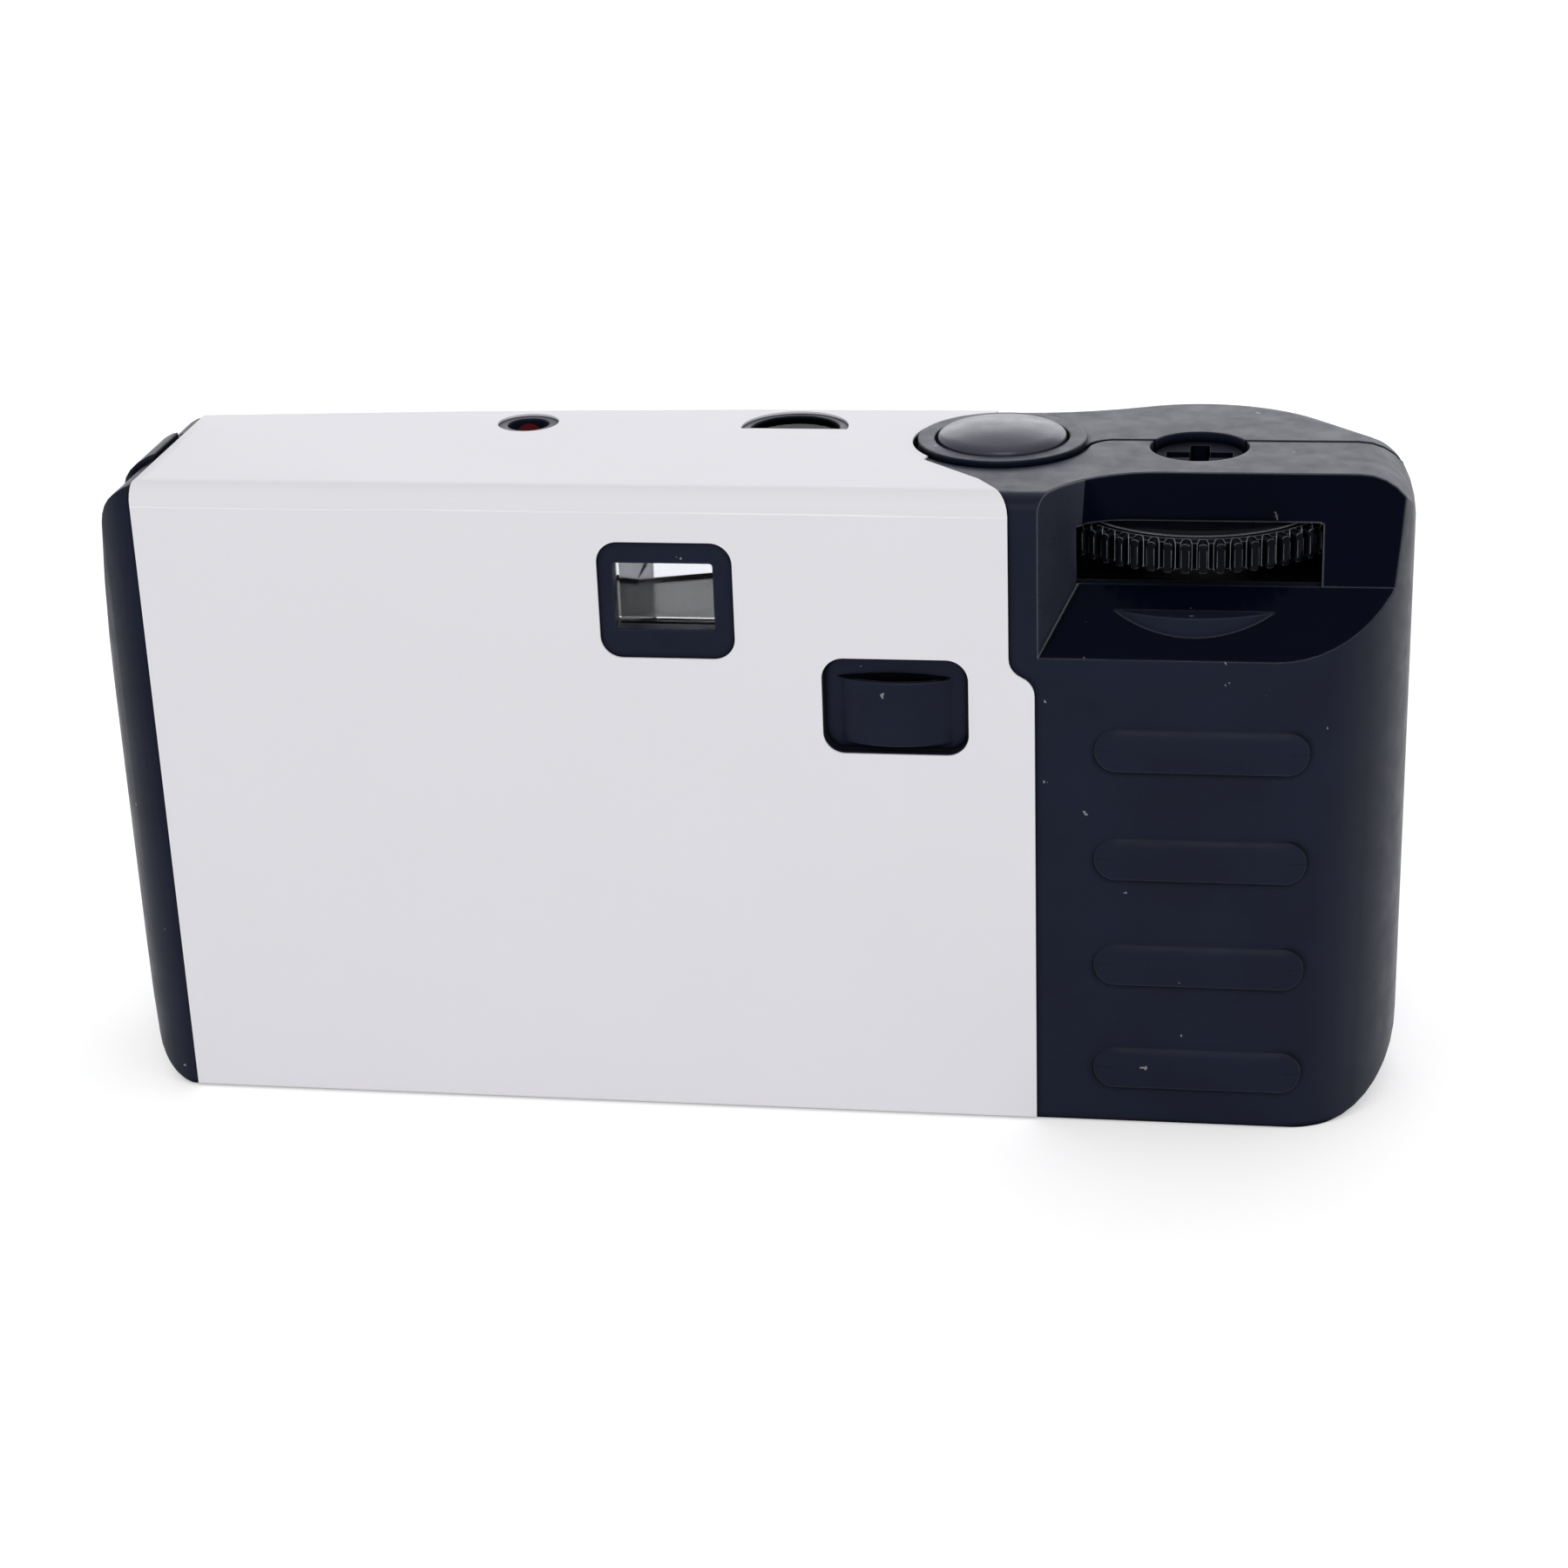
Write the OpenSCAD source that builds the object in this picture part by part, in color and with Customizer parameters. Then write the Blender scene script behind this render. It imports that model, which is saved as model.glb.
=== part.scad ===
// Disposable 35 mm film camera with a built-in flash.
// X runs along the width, Y from the back to the lens, Z up from the base.
// The thumbwheel and the grip are at positive X, the lens faces positive Y.

/* [Body] */
// Overall width of the body
body_w = 120.5; // [116:0.5:130]
// Height of the body
body_h = 61.3; // [60.5:0.1:68]
// Depth from the back to the crown of the front panel
panel_d = 27.2; // [26.8:0.1:31]
// Thickness of the moulded shells
wall = 1.5; // [1.2:0.1:1.7]
// Distance of the parting plane from the back
seam_d = 17.1; // [16:0.1:17.5]
// Gap between the two shells at the parting plane
seam_gap = 0.45; // [0.1:0.05:0.5]
// Radius of the slow bow of the front panel
bow_r = 850; // [700:10:1500]
// Radius of the bow of the left end
barrel_r = 240; // [180:10:500]
// Height of the middle of the left end's bow
barrel_z = 27; // [24:0.5:32]
// Vertical corner radius at the left end
end_r = 5.5; // [4:0.5:8]
// Corner radius at the top of the left end
top_left_r = 4.5; // [2:0.5:8]
// Corner radius at the foot of the left end
foot_left_r = 5; // [2:0.5:8]
// Corner radius at the foot of the grip end
foot_right_r = 7.5; // [3:0.5:10]
// Corner radius at the top of the grip end
top_right_r = 5; // [2:0.5:8]
// Fold radius along the top of the back
fold_r = 1.75; // [1:0.05:3]
// Radius along the foot of the back
base_r = 0.5; // [0.3:0.1:2]
// Radius of the front edge along the top
crown_r = 2; // [0.5:0.1:2.4]

/* [Grip] */
// Vertical corner radius at the back of the grip
grip_corner_r = 12; // [11:0.1:13]
// Number of grip ribs
rib_n = 4; // [1:1:4]
// Length of a grip rib
rib_l = 19; // [12:0.5:20]
// Width of a grip rib
rib_w = 4; // [2:0.5:6]
// Height of a grip rib above the back
rib_h = 0.45; // [0.2:0.05:0.8]
// Spacing of the grip ribs
rib_pitch = 10.6; // [8:0.1:11]
// Height of the lowest rib above the base
rib_z = 5.95; // [4:0.05:8]

/* [Thumbwheel] */
// Distance of the winding axis from the grip end
wheel_from_end = 19.3; // [18.5:0.1:20.5]
// Distance of the winding axis from the back
axis_d = 15.3; // [15:0.1:15.6]
// Outer radius of the thumbwheel
wheel_r = 13.4; // [13:0.1:14]
// Thickness of the thumbwheel
wheel_t = 3; // [2:0.1:3.2]
// Number of teeth on the thumbwheel
wheel_teeth = 54; // [36:1:72]
// Depth of the thumbwheel's teeth
wheel_tooth_h = 0.9; // [0.5:0.1:1.5]
// Distance of the thumbwheel below the top of the body
wheel_drop = 4.7; // [4.6:0.1:5.3]
// Room between the thumbwheel and the shells
wheel_clear = 0.4; // [0.3:0.05:0.6]
// Radius of the key hole over the winding hub
key_r = 4.5; // [3.5:0.1:5.5]
// Running clearance of turning and sliding pieces
run_clear = 0.3; // [0.25:0.05:0.4]

/* [Thumb pocket] */
// Depth of the pocket at the foot of its panel
pocket_d = 5.8; // [5:0.1:6]
// Height of the pocket's panel
pocket_h = 9.9; // [9.5:0.1:10.2]
// Lean of the panel, depth for each unit of height
pocket_lean = 0.172; // [0.1:0.002:0.2]
// Height of the sloping floor
pocket_floor_h = 5.1; // [4:0.1:7]
// Distance of the left edge from the winding axis
pocket_left = 13.6; // [13:0.1:15]
// How far the left flank leans in
pocket_flank = 3.25; // [2:0.05:4]
// Blend radius between flank and panel at the top
pocket_blend_r = 14; // [5:0.5:16]
// Wall behind the pocket
pocket_wall = 1.2; // [1:0.1:1.4]
// Width of the thumbwheel's window
window_w = 21.7; // [21.2:0.1:22.4]
// Height of the thumbwheel's window
window_h = 5.5; // [5.3:0.1:5.7]
// Radius of the chamber wall that stands in the floor
chamber_r = 13.5; // [13.3:0.05:13.8]

/* [Label] */
// Thickness of the wrap label
label_t = 0.2; // [0.1:0.05:0.4]
// Bare strip at the left end
label_left = 5.35; // [4:0.05:8]
// Bare strip along the base
label_foot = 0.3; // [0.2:0.1:2]
// Distance of the label's right edge from the winding axis
label_right = 13.85; // [13.5:0.05:16]
// Step back of the right edge beside the pocket
label_step = 2.3; // [1:0.1:4]
// Height at which the step starts
label_step_z = 42.75; // [38:0.25:44]
// Height of the step
label_step_h = 3.5; // [2:0.1:5]
// Corner radius of the label's cut-outs
cutout_r = 2; // [0.5:0.1:3]

/* [Viewfinder] */
// Place of the viewfinder across the body
finder_x = -6.05; // [-7.5:0.05:-5.5]
// Distance of the viewfinder below the top
finder_drop = 9.6; // [9.4:0.1:10]
// Width of the eyepiece opening
eye_w = 9.1; // [6:0.1:9.4]
// Height of the eyepiece opening
eye_h = 6.3; // [5:0.1:6.6]
// Width of the bare frame round the eyepiece
eye_frame_w = 12.3; // [10:0.1:14]
// Height of the bare frame round the eyepiece
eye_frame_h = 11; // [9:0.1:11.5]
// Width of the front window
finder_w = 11.2; // [9:0.1:11.6]
// Height of the front window
finder_h = 8.6; // [7:0.1:9]
// Wall of the viewfinder tunnel
finder_wall = 0.8; // [0.6:0.1:0.9]
// Thickness of the viewfinder lenses
finder_lens_t = 1.5; // [1:0.1:2]

/* [Pry tongue] */
// Place of the tongue across the body
tongue_x = 14.6; // [12:0.05:15]
// Height of the middle of the tongue's recess
tongue_z = 41.45; // [38:0.05:42]
// Width of the recess
tongue_recess_w = 13.2; // [11:0.1:14]
// Height of the recess
tongue_recess_h = 9.2; // [8:0.1:10]
// Depth of the recess
tongue_recess_d = 1; // [0.5:0.1:1.2]
// Width of the tongue
tongue_w = 10; // [8:0.1:11]
// Bulge of the tongue out of its recess
tongue_bulge = 1.3; // [0.8:0.1:1.4]

/* [Film] */
// Distance of the film from the back
film_d = 3.3; // [3.1:0.1:3.4]
// Thickness of the film strip
film_t = 0.2; // [0.12:0.02:0.3]
// Width of the film
film_w = 35; // [34:0.1:35]
// Width of the picture gate
gate_w = 36; // [30:0.5:36]
// Height of the picture gate
gate_h = 24; // [20:0.5:25]
// Radius of the cartridge shell
cart_r = 12.3; // [12:0.05:12.4]
// Radius of the cartridge's end caps
cart_cap_r = 12.5; // [12.4:0.02:12.6]
// Height of the cartridge
cart_h = 46.5; // [46:0.1:46.8]
// Room under the cartridge
cart_gap = 0.8; // [0.3:0.1:1]
// Radius of the cartridge's spool ends
spool_r = 5; // [4:0.1:5.5]
// Distance of the supply axis from the left end
roll_from_end = 23; // [21:0.1:26]
// Radius of the pre-wound film roll
roll_r = 8.3; // [7:0.1:8.5]
// Radius of the supply spool's core
core_r = 4; // [3:0.1:5]
// Number of teeth on the film sprocket
sprocket_teeth = 8; // [6:1:12]
// Tip radius of the film sprocket
sprocket_r = 5.7; // [5:0.1:5.75]

/* [Lens and shutter] */
// How far the lens bezel stands in front of the panel
lens_stand = 5.85; // [4:0.05:8]
// Outer radius of the lens bezel
bezel_r = 12.5; // [11:0.1:13]
// Radius of the taking lens
lens_r = 4.6; // [4:0.1:5.5]
// Thickness of the taking lens
lens_t = 2; // [1.5:0.1:2.4]
// Radius of the aperture
stop_r = 1.6; // [1:0.1:1.8]
// Thickness of the shutter blade
blade_t = 0.4; // [0.2:0.05:0.5]
// Radius of the shutter blade's disc
blade_r = 4.3; // [4:0.1:5]
// Pivot of the shutter blade beside the lens axis
blade_pivot_x = 9.5; // [9:0.1:10]
// Pivot of the shutter blade above the lens axis
blade_pivot_z = 6.15; // [5:0.05:7]

/* [Release] */
// Distance of the shutter button from the winding axis
button_from_wheel = 17.95; // [17.5:0.05:19]
// How far the shutter button stands in front of the winding axis
button_forward = 0.9; // [0:0.1:1]
// Radius of the shutter button
button_r = 5.9; // [5:0.1:6.2]
// Height of the shutter button above the body
button_rise = 1.8; // [1.7:0.1:3]
// Height of the dome on the shutter button
button_dome = 0.9; // [0.6:0.1:1.4]
// Travel of the shutter button
button_travel = 1.6; // [1:0.1:1.6]
// Outer radius of the collar round the button
collar_r = 7.7; // [7.3:0.1:8]
// Height of the collar above the body
collar_h = 0.5; // [0.2:0.1:0.8]
// Radius of the web between the collar and the parting plane
collar_web_r = 3; // [2:0.1:4]

/* [Counter] */
// Radius of the counter dial
dial_r = 8.2; // [7:0.1:8.4]
// Number of notches round the counter dial
dial_notches = 30; // [20:1:40]
// Place of the counter window across the body
counter_x = 3.3; // [2:0.05:4]
// Place of the counter window in front of the parting plane
counter_y = 4.35; // [4:0.05:5]
// Radius of the counter window's arch
counter_r = 5.05; // [4:0.05:5.2]

/* [Flash] */
// Width of the flash window
flash_w = 22; // [18:0.5:24]
// Height of the flash window
flash_h = 10; // [8:0.5:10]
// Distance of the flash window's middle from the left end
flash_from_end = 20; // [19:0.5:22]
// Distance of the flash window's middle below the top
flash_drop = 8; // [7.5:0.1:8.5]
// Radius of the flash tube
tube_r = 1.5; // [1:0.1:2]
// Radius of the main capacitor
cap_r = 5; // [4:0.1:5]
// Length of the main capacitor
cap_l = 30; // [24:1:32]
// Thickness of the circuit board
board_t = 1; // [0.8:0.1:1.2]
// Place of the ready lamp across the body
lamp_x = -22.3; // [-24:0.05:-20]
// Radius of the ready lamp
lamp_r = 1.5; // [1:0.1:1.8]
// Radius of the label's hole over the ready lamp
lamp_hole_r = 2.9; // [2.2:0.1:4]
// Radius of the flash button
flash_button_r = 4; // [3:0.1:5]
// Travel of the flash button
flash_travel = 1; // [0.5:0.1:1]
// How far the flash button stands proud
flash_button_rise = 1.2; // [1:0.1:2]

/* [Battery] */
// Radius of the battery
battery_r = 5.2; // [5:0.05:5.3]
// Length of the battery
battery_l = 44.5; // [43:0.1:45]

/* [Hidden] */
$fn = 64;

// Colours of the moulded and metal pieces
black = "#1b1d25";
deep_black = "#111218";
white = "#dedee6";
clear = "#cfe0ea";
steel = "#a9adb3";
brass_tone = "#b8964a";
film_tone = "#5b4636";

// Main planes
half_w = body_w / 2;
back_y = rib_h - (rib_h + panel_d + lens_stand) / 2;
front_y = back_y + panel_d;
axis_y = back_y + axis_d;
seam_y = back_y + seam_d;
rear_edge_y = seam_y - seam_gap / 2;
front_edge_y = seam_y + seam_gap / 2;
bezel_y = front_y + lens_stand;
top_in = body_h - wall;
far = 200;

// Plan outline: the grip's front and back corner circles, the flare and the bow
wheel_x = half_w - wheel_from_end;
grip_f = [wheel_x, axis_y];
grip_r = wheel_r + wheel_clear + wall;
grip_b = [half_w - grip_corner_r, back_y + grip_corner_r];
grip_gap = norm(grip_b - grip_f);
grip_dir = atan2(grip_b[1] - grip_f[1], grip_b[0] - grip_f[0]);
grip_a = grip_dir + acos((grip_r - grip_corner_r) / grip_gap);
bow_from_wheel = 17.2;
bow_x = wheel_x - bow_from_wheel;
flare_b = front_y - axis_y;
flare_r = (pow(bow_from_wheel, 2) + pow(flare_b, 2) - pow(grip_r, 2)) / (2 * (grip_r - flare_b));
flare_c = [bow_x, front_y + flare_r];
flare_a = asin(bow_from_wheel / (flare_r + grip_r));
bow_c = [bow_x, front_y - bow_r];

// Film path and chassis levels
cart_z = wall + cart_gap;
film_z = cart_z + cart_h / 2;
film_y = back_y + film_d;
rail_y = film_y + film_t / 2 + 0.2;
gate_t = 1.2;
plate_y = rail_y + gate_t;
deck_t = 1.5;
deck_top = film_z + film_w / 2 + 3.05;
deck_z = deck_top - deck_t;
deck_front = 6.3 + axis_y + 1;
lens_x = 0;
roll_x = -half_w + roll_from_end;
roll_y = film_y + roll_r;
lip_x = wheel_x - cart_cap_r - 1.7;
gate_left = roll_x + roll_r + 3.95;
gate_right = lip_x - 1.75;
chamber_floor_z = wall + 1.5;
chamber_t = 1.6;
core_z = chamber_floor_z + chamber_t + 1.85;

// Shutter planes from the back to the front
seat_t = 1.2;
seat_y = front_y - 4.5;
blade_y = seat_y + 0.3;
blade_pin_r = 1;
blade_boss_r = 2.5;
blade_x = lens_x + blade_pivot_x;
blade_z = film_z + blade_pivot_z;
flange_y = blade_y + blade_t + 0.3;
flange_t = 0.9;
stop_y = flange_y + 0.3;
stop_t = 0.8;
stop_plate_r = 7;
lens_y = stop_y + stop_t + 0.4;

// Winding levels
wheel_top = body_h - wheel_drop;
wheel_z = wheel_top - wheel_t;
cart_top = cart_z + cart_h;

// Release levels
button_x = wheel_x - button_from_wheel;
button_y = axis_y + button_forward;
button_top = body_h + button_rise;
button_flange_top = top_in - 0.2;
button_flange_t = 1;
button_flange_z = button_flange_top - button_flange_t;
button_flange_r = button_r + 0.9;
stem_r = 1.6;
stem_tip_r = 1;
stem_guide_t = 1;
lever_top = deck_top + 6.1;
lever_t = 1.2;
stem_guide_top = lever_top + 2.6;
lever_axis_z = lever_top - lever_t / 2;
lever_axis_x = button_x - 8.25;
lever_w = 3;
lever_pin_r = 1;
lever_tip = 2;
stem_tip_z = lever_top + 0.3;

// Counter and sprocket
dial_x = button_x - 13.85;
dial_y = axis_y + 1.6;
dial_t = 1;
dial_top = button_flange_z - button_travel - 0.5;
dial_z = dial_top - dial_t;
dial_post_r = 1.5;
sprocket_x = button_x - 4;
sprocket_y = film_y + sprocket_r + 0.4;
sprocket_z = film_z + film_w / 2 - 2.15;
sprocket_t = 1.5;
shaft_r = 1.8;
shelf_z = sprocket_z - 2.9;
shelf_t = 1.2;

// Pawl beside the thumbwheel
pawl_x = button_x + 1.25;
pawl_y = axis_y + 5.2;
pawl_pin_r = 1;
pawl_a = 155;

// Striker
striker_x = button_x - 4.75;
striker_y = axis_y;
striker_z = deck_top + 0.4;
striker_t = 1.2;
striker_l = 8;
striker_post_r = 1.2;
striker_boss_r = 2;
striker_arm_w = 2;

// Viewfinder
finder_z = body_h - finder_drop;
finder_rear_y = back_y + wall + 0.5;
finder_front_y = front_y - 2.7;
finder_room = 0.4;
eye_z = finder_z - 0.15;
eye_frame_x = finder_x + 0.2;
eye_frame_z = finder_z - 0.5;

// Flash
flash_x = -half_w + flash_from_end;
flash_z = body_h - flash_drop;
board_y = front_y - 6.3;
board_front = board_y + board_t;
flash_button_left = 24;
flash_button_low = 5;
flash_button_x = lens_x - flash_button_left;
flash_button_z = film_z - flash_button_low;
flash_face_y = bow_at(flash_button_x);
reflector_back = board_y - 8;
reflector_front = bow_at(flash_x - flash_w / 2) - wall - 0.3;
tube_y = reflector_back + 3.2;
transformer_w = 8.5;
transformer_d = 8;
transformer_h = 9;
coil_r = 2.6;
coil_l = 9;
coil_z = film_z + 8;
lamp_l = 9.8;
lamp_lead_r = 0.25;
lamp_lead_gap = 0.7;

// Battery
battery_z = wall + run_clear + battery_r;
battery_y = axis_y + 3.6;

// Pocket
pocket_foot_y = back_y + pocket_d;
pocket_foot_z = body_h - pocket_h;
pocket_x = wheel_x - pocket_left;

// Front of the panel at a place across the body
function bow_at(x) = bow_c[1] + sqrt(pow(bow_r, 2) - pow(x - bow_c[0], 2));

// Points along an arc, from step i0 to the last of n steps
function arc(c, r, a0, a1, n, i0 = 0, i1 = 0) =
    [for (i = [i0:n - i1]) let (a = a0 + (a1 - a0) * i / n) c + r * [cos(a), sin(a)]];

// Corner radius that still leaves an arc after an inset d
function corner(r, d) = max(r, d + 0.05);

// Body outline seen from above, inset by d
function plan(d) =
    let (
        re = corner(end_r, d),
        fc = [-half_w + re, bow_c[1] + sqrt(pow(bow_r - re, 2) - pow(-half_w + re - bow_x, 2))],
        fa = atan2(fc[1] - bow_c[1], fc[0] - bow_c[0])
    )
    concat(
        arc([-half_w + re, back_y + re], re - d, 180, 270, 9),
        arc(grip_b, grip_corner_r - d, 270, 360 + grip_a, 21),
        arc(grip_f, grip_r - d, grip_a, 90 + flare_a, 14),
        arc(flare_c, flare_r + d, 270 + flare_a, 270, 5, 1),
        arc(bow_c, bow_r - d, 90, fa, 10, 1),
        arc(fc, re - d, fa, 180, 9, 1)
    );

// Body outline seen from behind, inset by d
function face(d) =
    let (
        rb = corner(foot_left_r, d),
        rt = corner(top_left_r, d),
        rr = corner(foot_right_r, d),
        ru = corner(top_right_r, d),
        c = [-half_w + barrel_r, barrel_z],
        cb = [c[0] - sqrt(pow(barrel_r - rb, 2) - pow(rb - c[1], 2)), rb],
        ct = [c[0] - sqrt(pow(barrel_r - rt, 2) - pow(body_h - rt - c[1], 2)), body_h - rt],
        ab = 360 + atan2(cb[1] - c[1], cb[0] - c[0]),
        at = atan2(ct[1] - c[1], ct[0] - c[0])
    )
    concat(
        arc(cb, rb - d, ab, 270, 7),
        arc([half_w - rr, rr], rr - d, 270, 360, 9),
        arc([half_w - ru, body_h - ru], ru - d, 0, 90, 7),
        arc(ct, rt - d, 90, at, 7),
        arc(c, barrel_r - d, at, ab, 8, 1, 1)
    );

// Body outline seen from the end, inset by d
function side(d) =
    let (
        rb = corner(base_r, d),
        rt = corner(fold_r, d)
    )
    concat(
        arc([back_y + rb, rb], rb - d, 180, 270, 5),
        [[far, d], [far, body_h - d]],
        arc([back_y + rt, body_h - rt], rt - d, 90, 180, 6)
    );

// Box between two corners
module block(lo, hi) {
    translate(lo) cube(hi - lo);
}

// Outline in X and Z, drawn out along Y
module along_y(y0, y1) {
    translate([0, y1, 0]) rotate([90, 0, 0]) linear_extrude(y1 - y0) children();
}

// Outline in Y and Z, drawn out along X
module along_x(x0, x1) {
    translate([x0, 0, 0]) rotate([90, 0, 90]) linear_extrude(x1 - x0) children();
}

// Round bar along Y
module bar_y(x, z, r, y0, y1) {
    translate([x, y1, z]) rotate([90, 0, 0]) cylinder(r = r, h = y1 - y0);
}

// Round bar along X
module bar_x(y, z, r, x0, x1) {
    translate([x0, y, z]) rotate([0, 90, 0]) cylinder(r = r, h = x1 - x0);
}

// Round bar along Z
module bar_z(x, y, r, z0, z1) {
    translate([x, y, z0]) cylinder(r = r, h = z1 - z0);
}

// Rectangle about a centre with rounded corners
module round_rect(c, size, r) {
    translate(c) {
        square([size[0] - 2 * r, size[1]], center = true);
        square([size[0], size[1] - 2 * r], center = true);
        for (sx = [-1, 1], sy = [-1, 1])
            translate([sx * (size[0] / 2 - r), sy * (size[1] / 2 - r)]) circle(r);
    }
}

// Four-sided tapering block along Y, from half sizes h0 to h1
module taper_y(c, h0, h1, y0, y1) {
    rear = [for (s = [[-1, -1], [1, -1], [1, 1], [-1, 1]])
        [c[0] + s[0] * h0[0], y0, c[1] + s[1] * h0[1]]];
    front = [for (s = [[-1, -1], [1, -1], [1, 1], [-1, 1]])
        [c[0] + s[0] * h1[0], y1, c[1] + s[1] * h1[1]]];
    polyhedron(
        concat(rear, front),
        [[0, 3, 2, 1], [4, 5, 6, 7], [0, 1, 5, 4], [3, 7, 6, 2], [0, 4, 7, 3], [1, 2, 6, 5]]
    );
}

// Whole body, inset by d
module body(d) {
    intersection() {
        translate([0, 0, -far / 2]) linear_extrude(far) polygon(plan(d));
        along_y(-far, far) polygon(face(d));
        along_x(-far, far) polygon(side(d));
    }
}

// Body outline drawn up, with its edge rounded along the top
module crown(d) {
    steps = 5;
    ring_r = crown_r - d;
    foot = body_h - crown_r;
    insets = concat([d], [for (k = [0:steps]) crown_r - ring_r * cos(90 * k / steps)], [crown_r]);
    levels = concat([0], [for (k = [0:steps]) foot + ring_r * sin(90 * k / steps)], [body_h + 2]);
    rings = [for (k = [0:steps + 2]) [for (p = plan(insets[k])) [p[0], p[1], levels[k]]]];
    n = len(rings[0]);
    polyhedron(
        [for (ring = rings) for (p = ring) p],
        concat(
            [[for (i = [0:n - 1]) i]],
            [[for (i = [n - 1:-1:0]) (steps + 2) * n + i]],
            [for (k = [0:steps + 1], i = [0:n - 1])
                let (j = (i + 1) % n) [k * n + i, (k + 1) * n + i, (k + 1) * n + j, k * n + j]]
        )
    );
}

// Whole body, inset by d, with its front edge rounded along the top
module crowned_body(d) {
    difference() {
        body(d);
        difference() {
            block([-far, seam_y, body_h - crown_r], [far, far, far]);
            crown(d);
        }
    }
}

// Body between two planes across its depth
module body_slice(d, y0, y1) {
    intersection() {
        body(d);
        block([-far, y0, -far], [far, y1, far]);
    }
}

// Corner of the pocket seen from above at depth y, grown by e, with blend radius r
function pocket_plan(y, e, r) =
    let (
        run = norm([pocket_flank, pocket_d]),
        n = [pocket_d / run, -pocket_flank / run],
        lean = pocket_flank / pocket_d,
        kx = pocket_x - e / n[0] + (y - back_y) * lean,
        out_y = back_y - 20,
        cx = kx + r * (1 + n[1]) / n[0]
    )
    concat(
        [[kx + (out_y - y) * lean, out_y], [far / 2, out_y], [far / 2, y]],
        arc([cx, y - r], r, 90, 90 + atan2(pocket_d, pocket_flank), 8)
    );

// Space of the thumb pocket, grown by e
module pocket_cut(e) {
    lean_e = e * sqrt(1 + pow(pocket_lean, 2));
    slope = pocket_floor_h / pocket_d;
    floor_e = e * sqrt(1 + pow(slope, 2));
    rise = (slope * lean_e - floor_e) / (1 - pocket_lean * slope);
    foot_z = pocket_foot_z + rise;
    foot_y = pocket_foot_y + lean_e + pocket_lean * rise;
    head_z = body_h + 3;
    head_y = foot_y + pocket_lean * (head_z - foot_z);
    low = pocket_plan(foot_y, e, 0.4 + e);
    high = pocket_plan(head_y, e, pocket_blend_r + e);
    n = len(low);
    polyhedron(
        concat([for (p = low) [p[0], p[1], foot_z]], [for (p = high) [p[0], p[1], head_z]]),
        concat(
            [[for (i = [0:n - 1]) i]],
            [[for (i = [n - 1:-1:0]) n + i]],
            [for (i = [0:n - 1]) [i, n + i, n + (i + 1) % n]],
            [for (i = [0:n - 1]) [i, n + (i + 1) % n, (i + 1) % n]]
        )
    );
    drop = slope * 20;
    intersection() {
        along_x(0, far / 2)
            polygon([[foot_y, foot_z], [foot_y - 20, foot_z], [foot_y - 20, foot_z - drop]]);
        translate([0, 0, -far / 2]) linear_extrude(far) polygon(low);
    }
}

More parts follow.
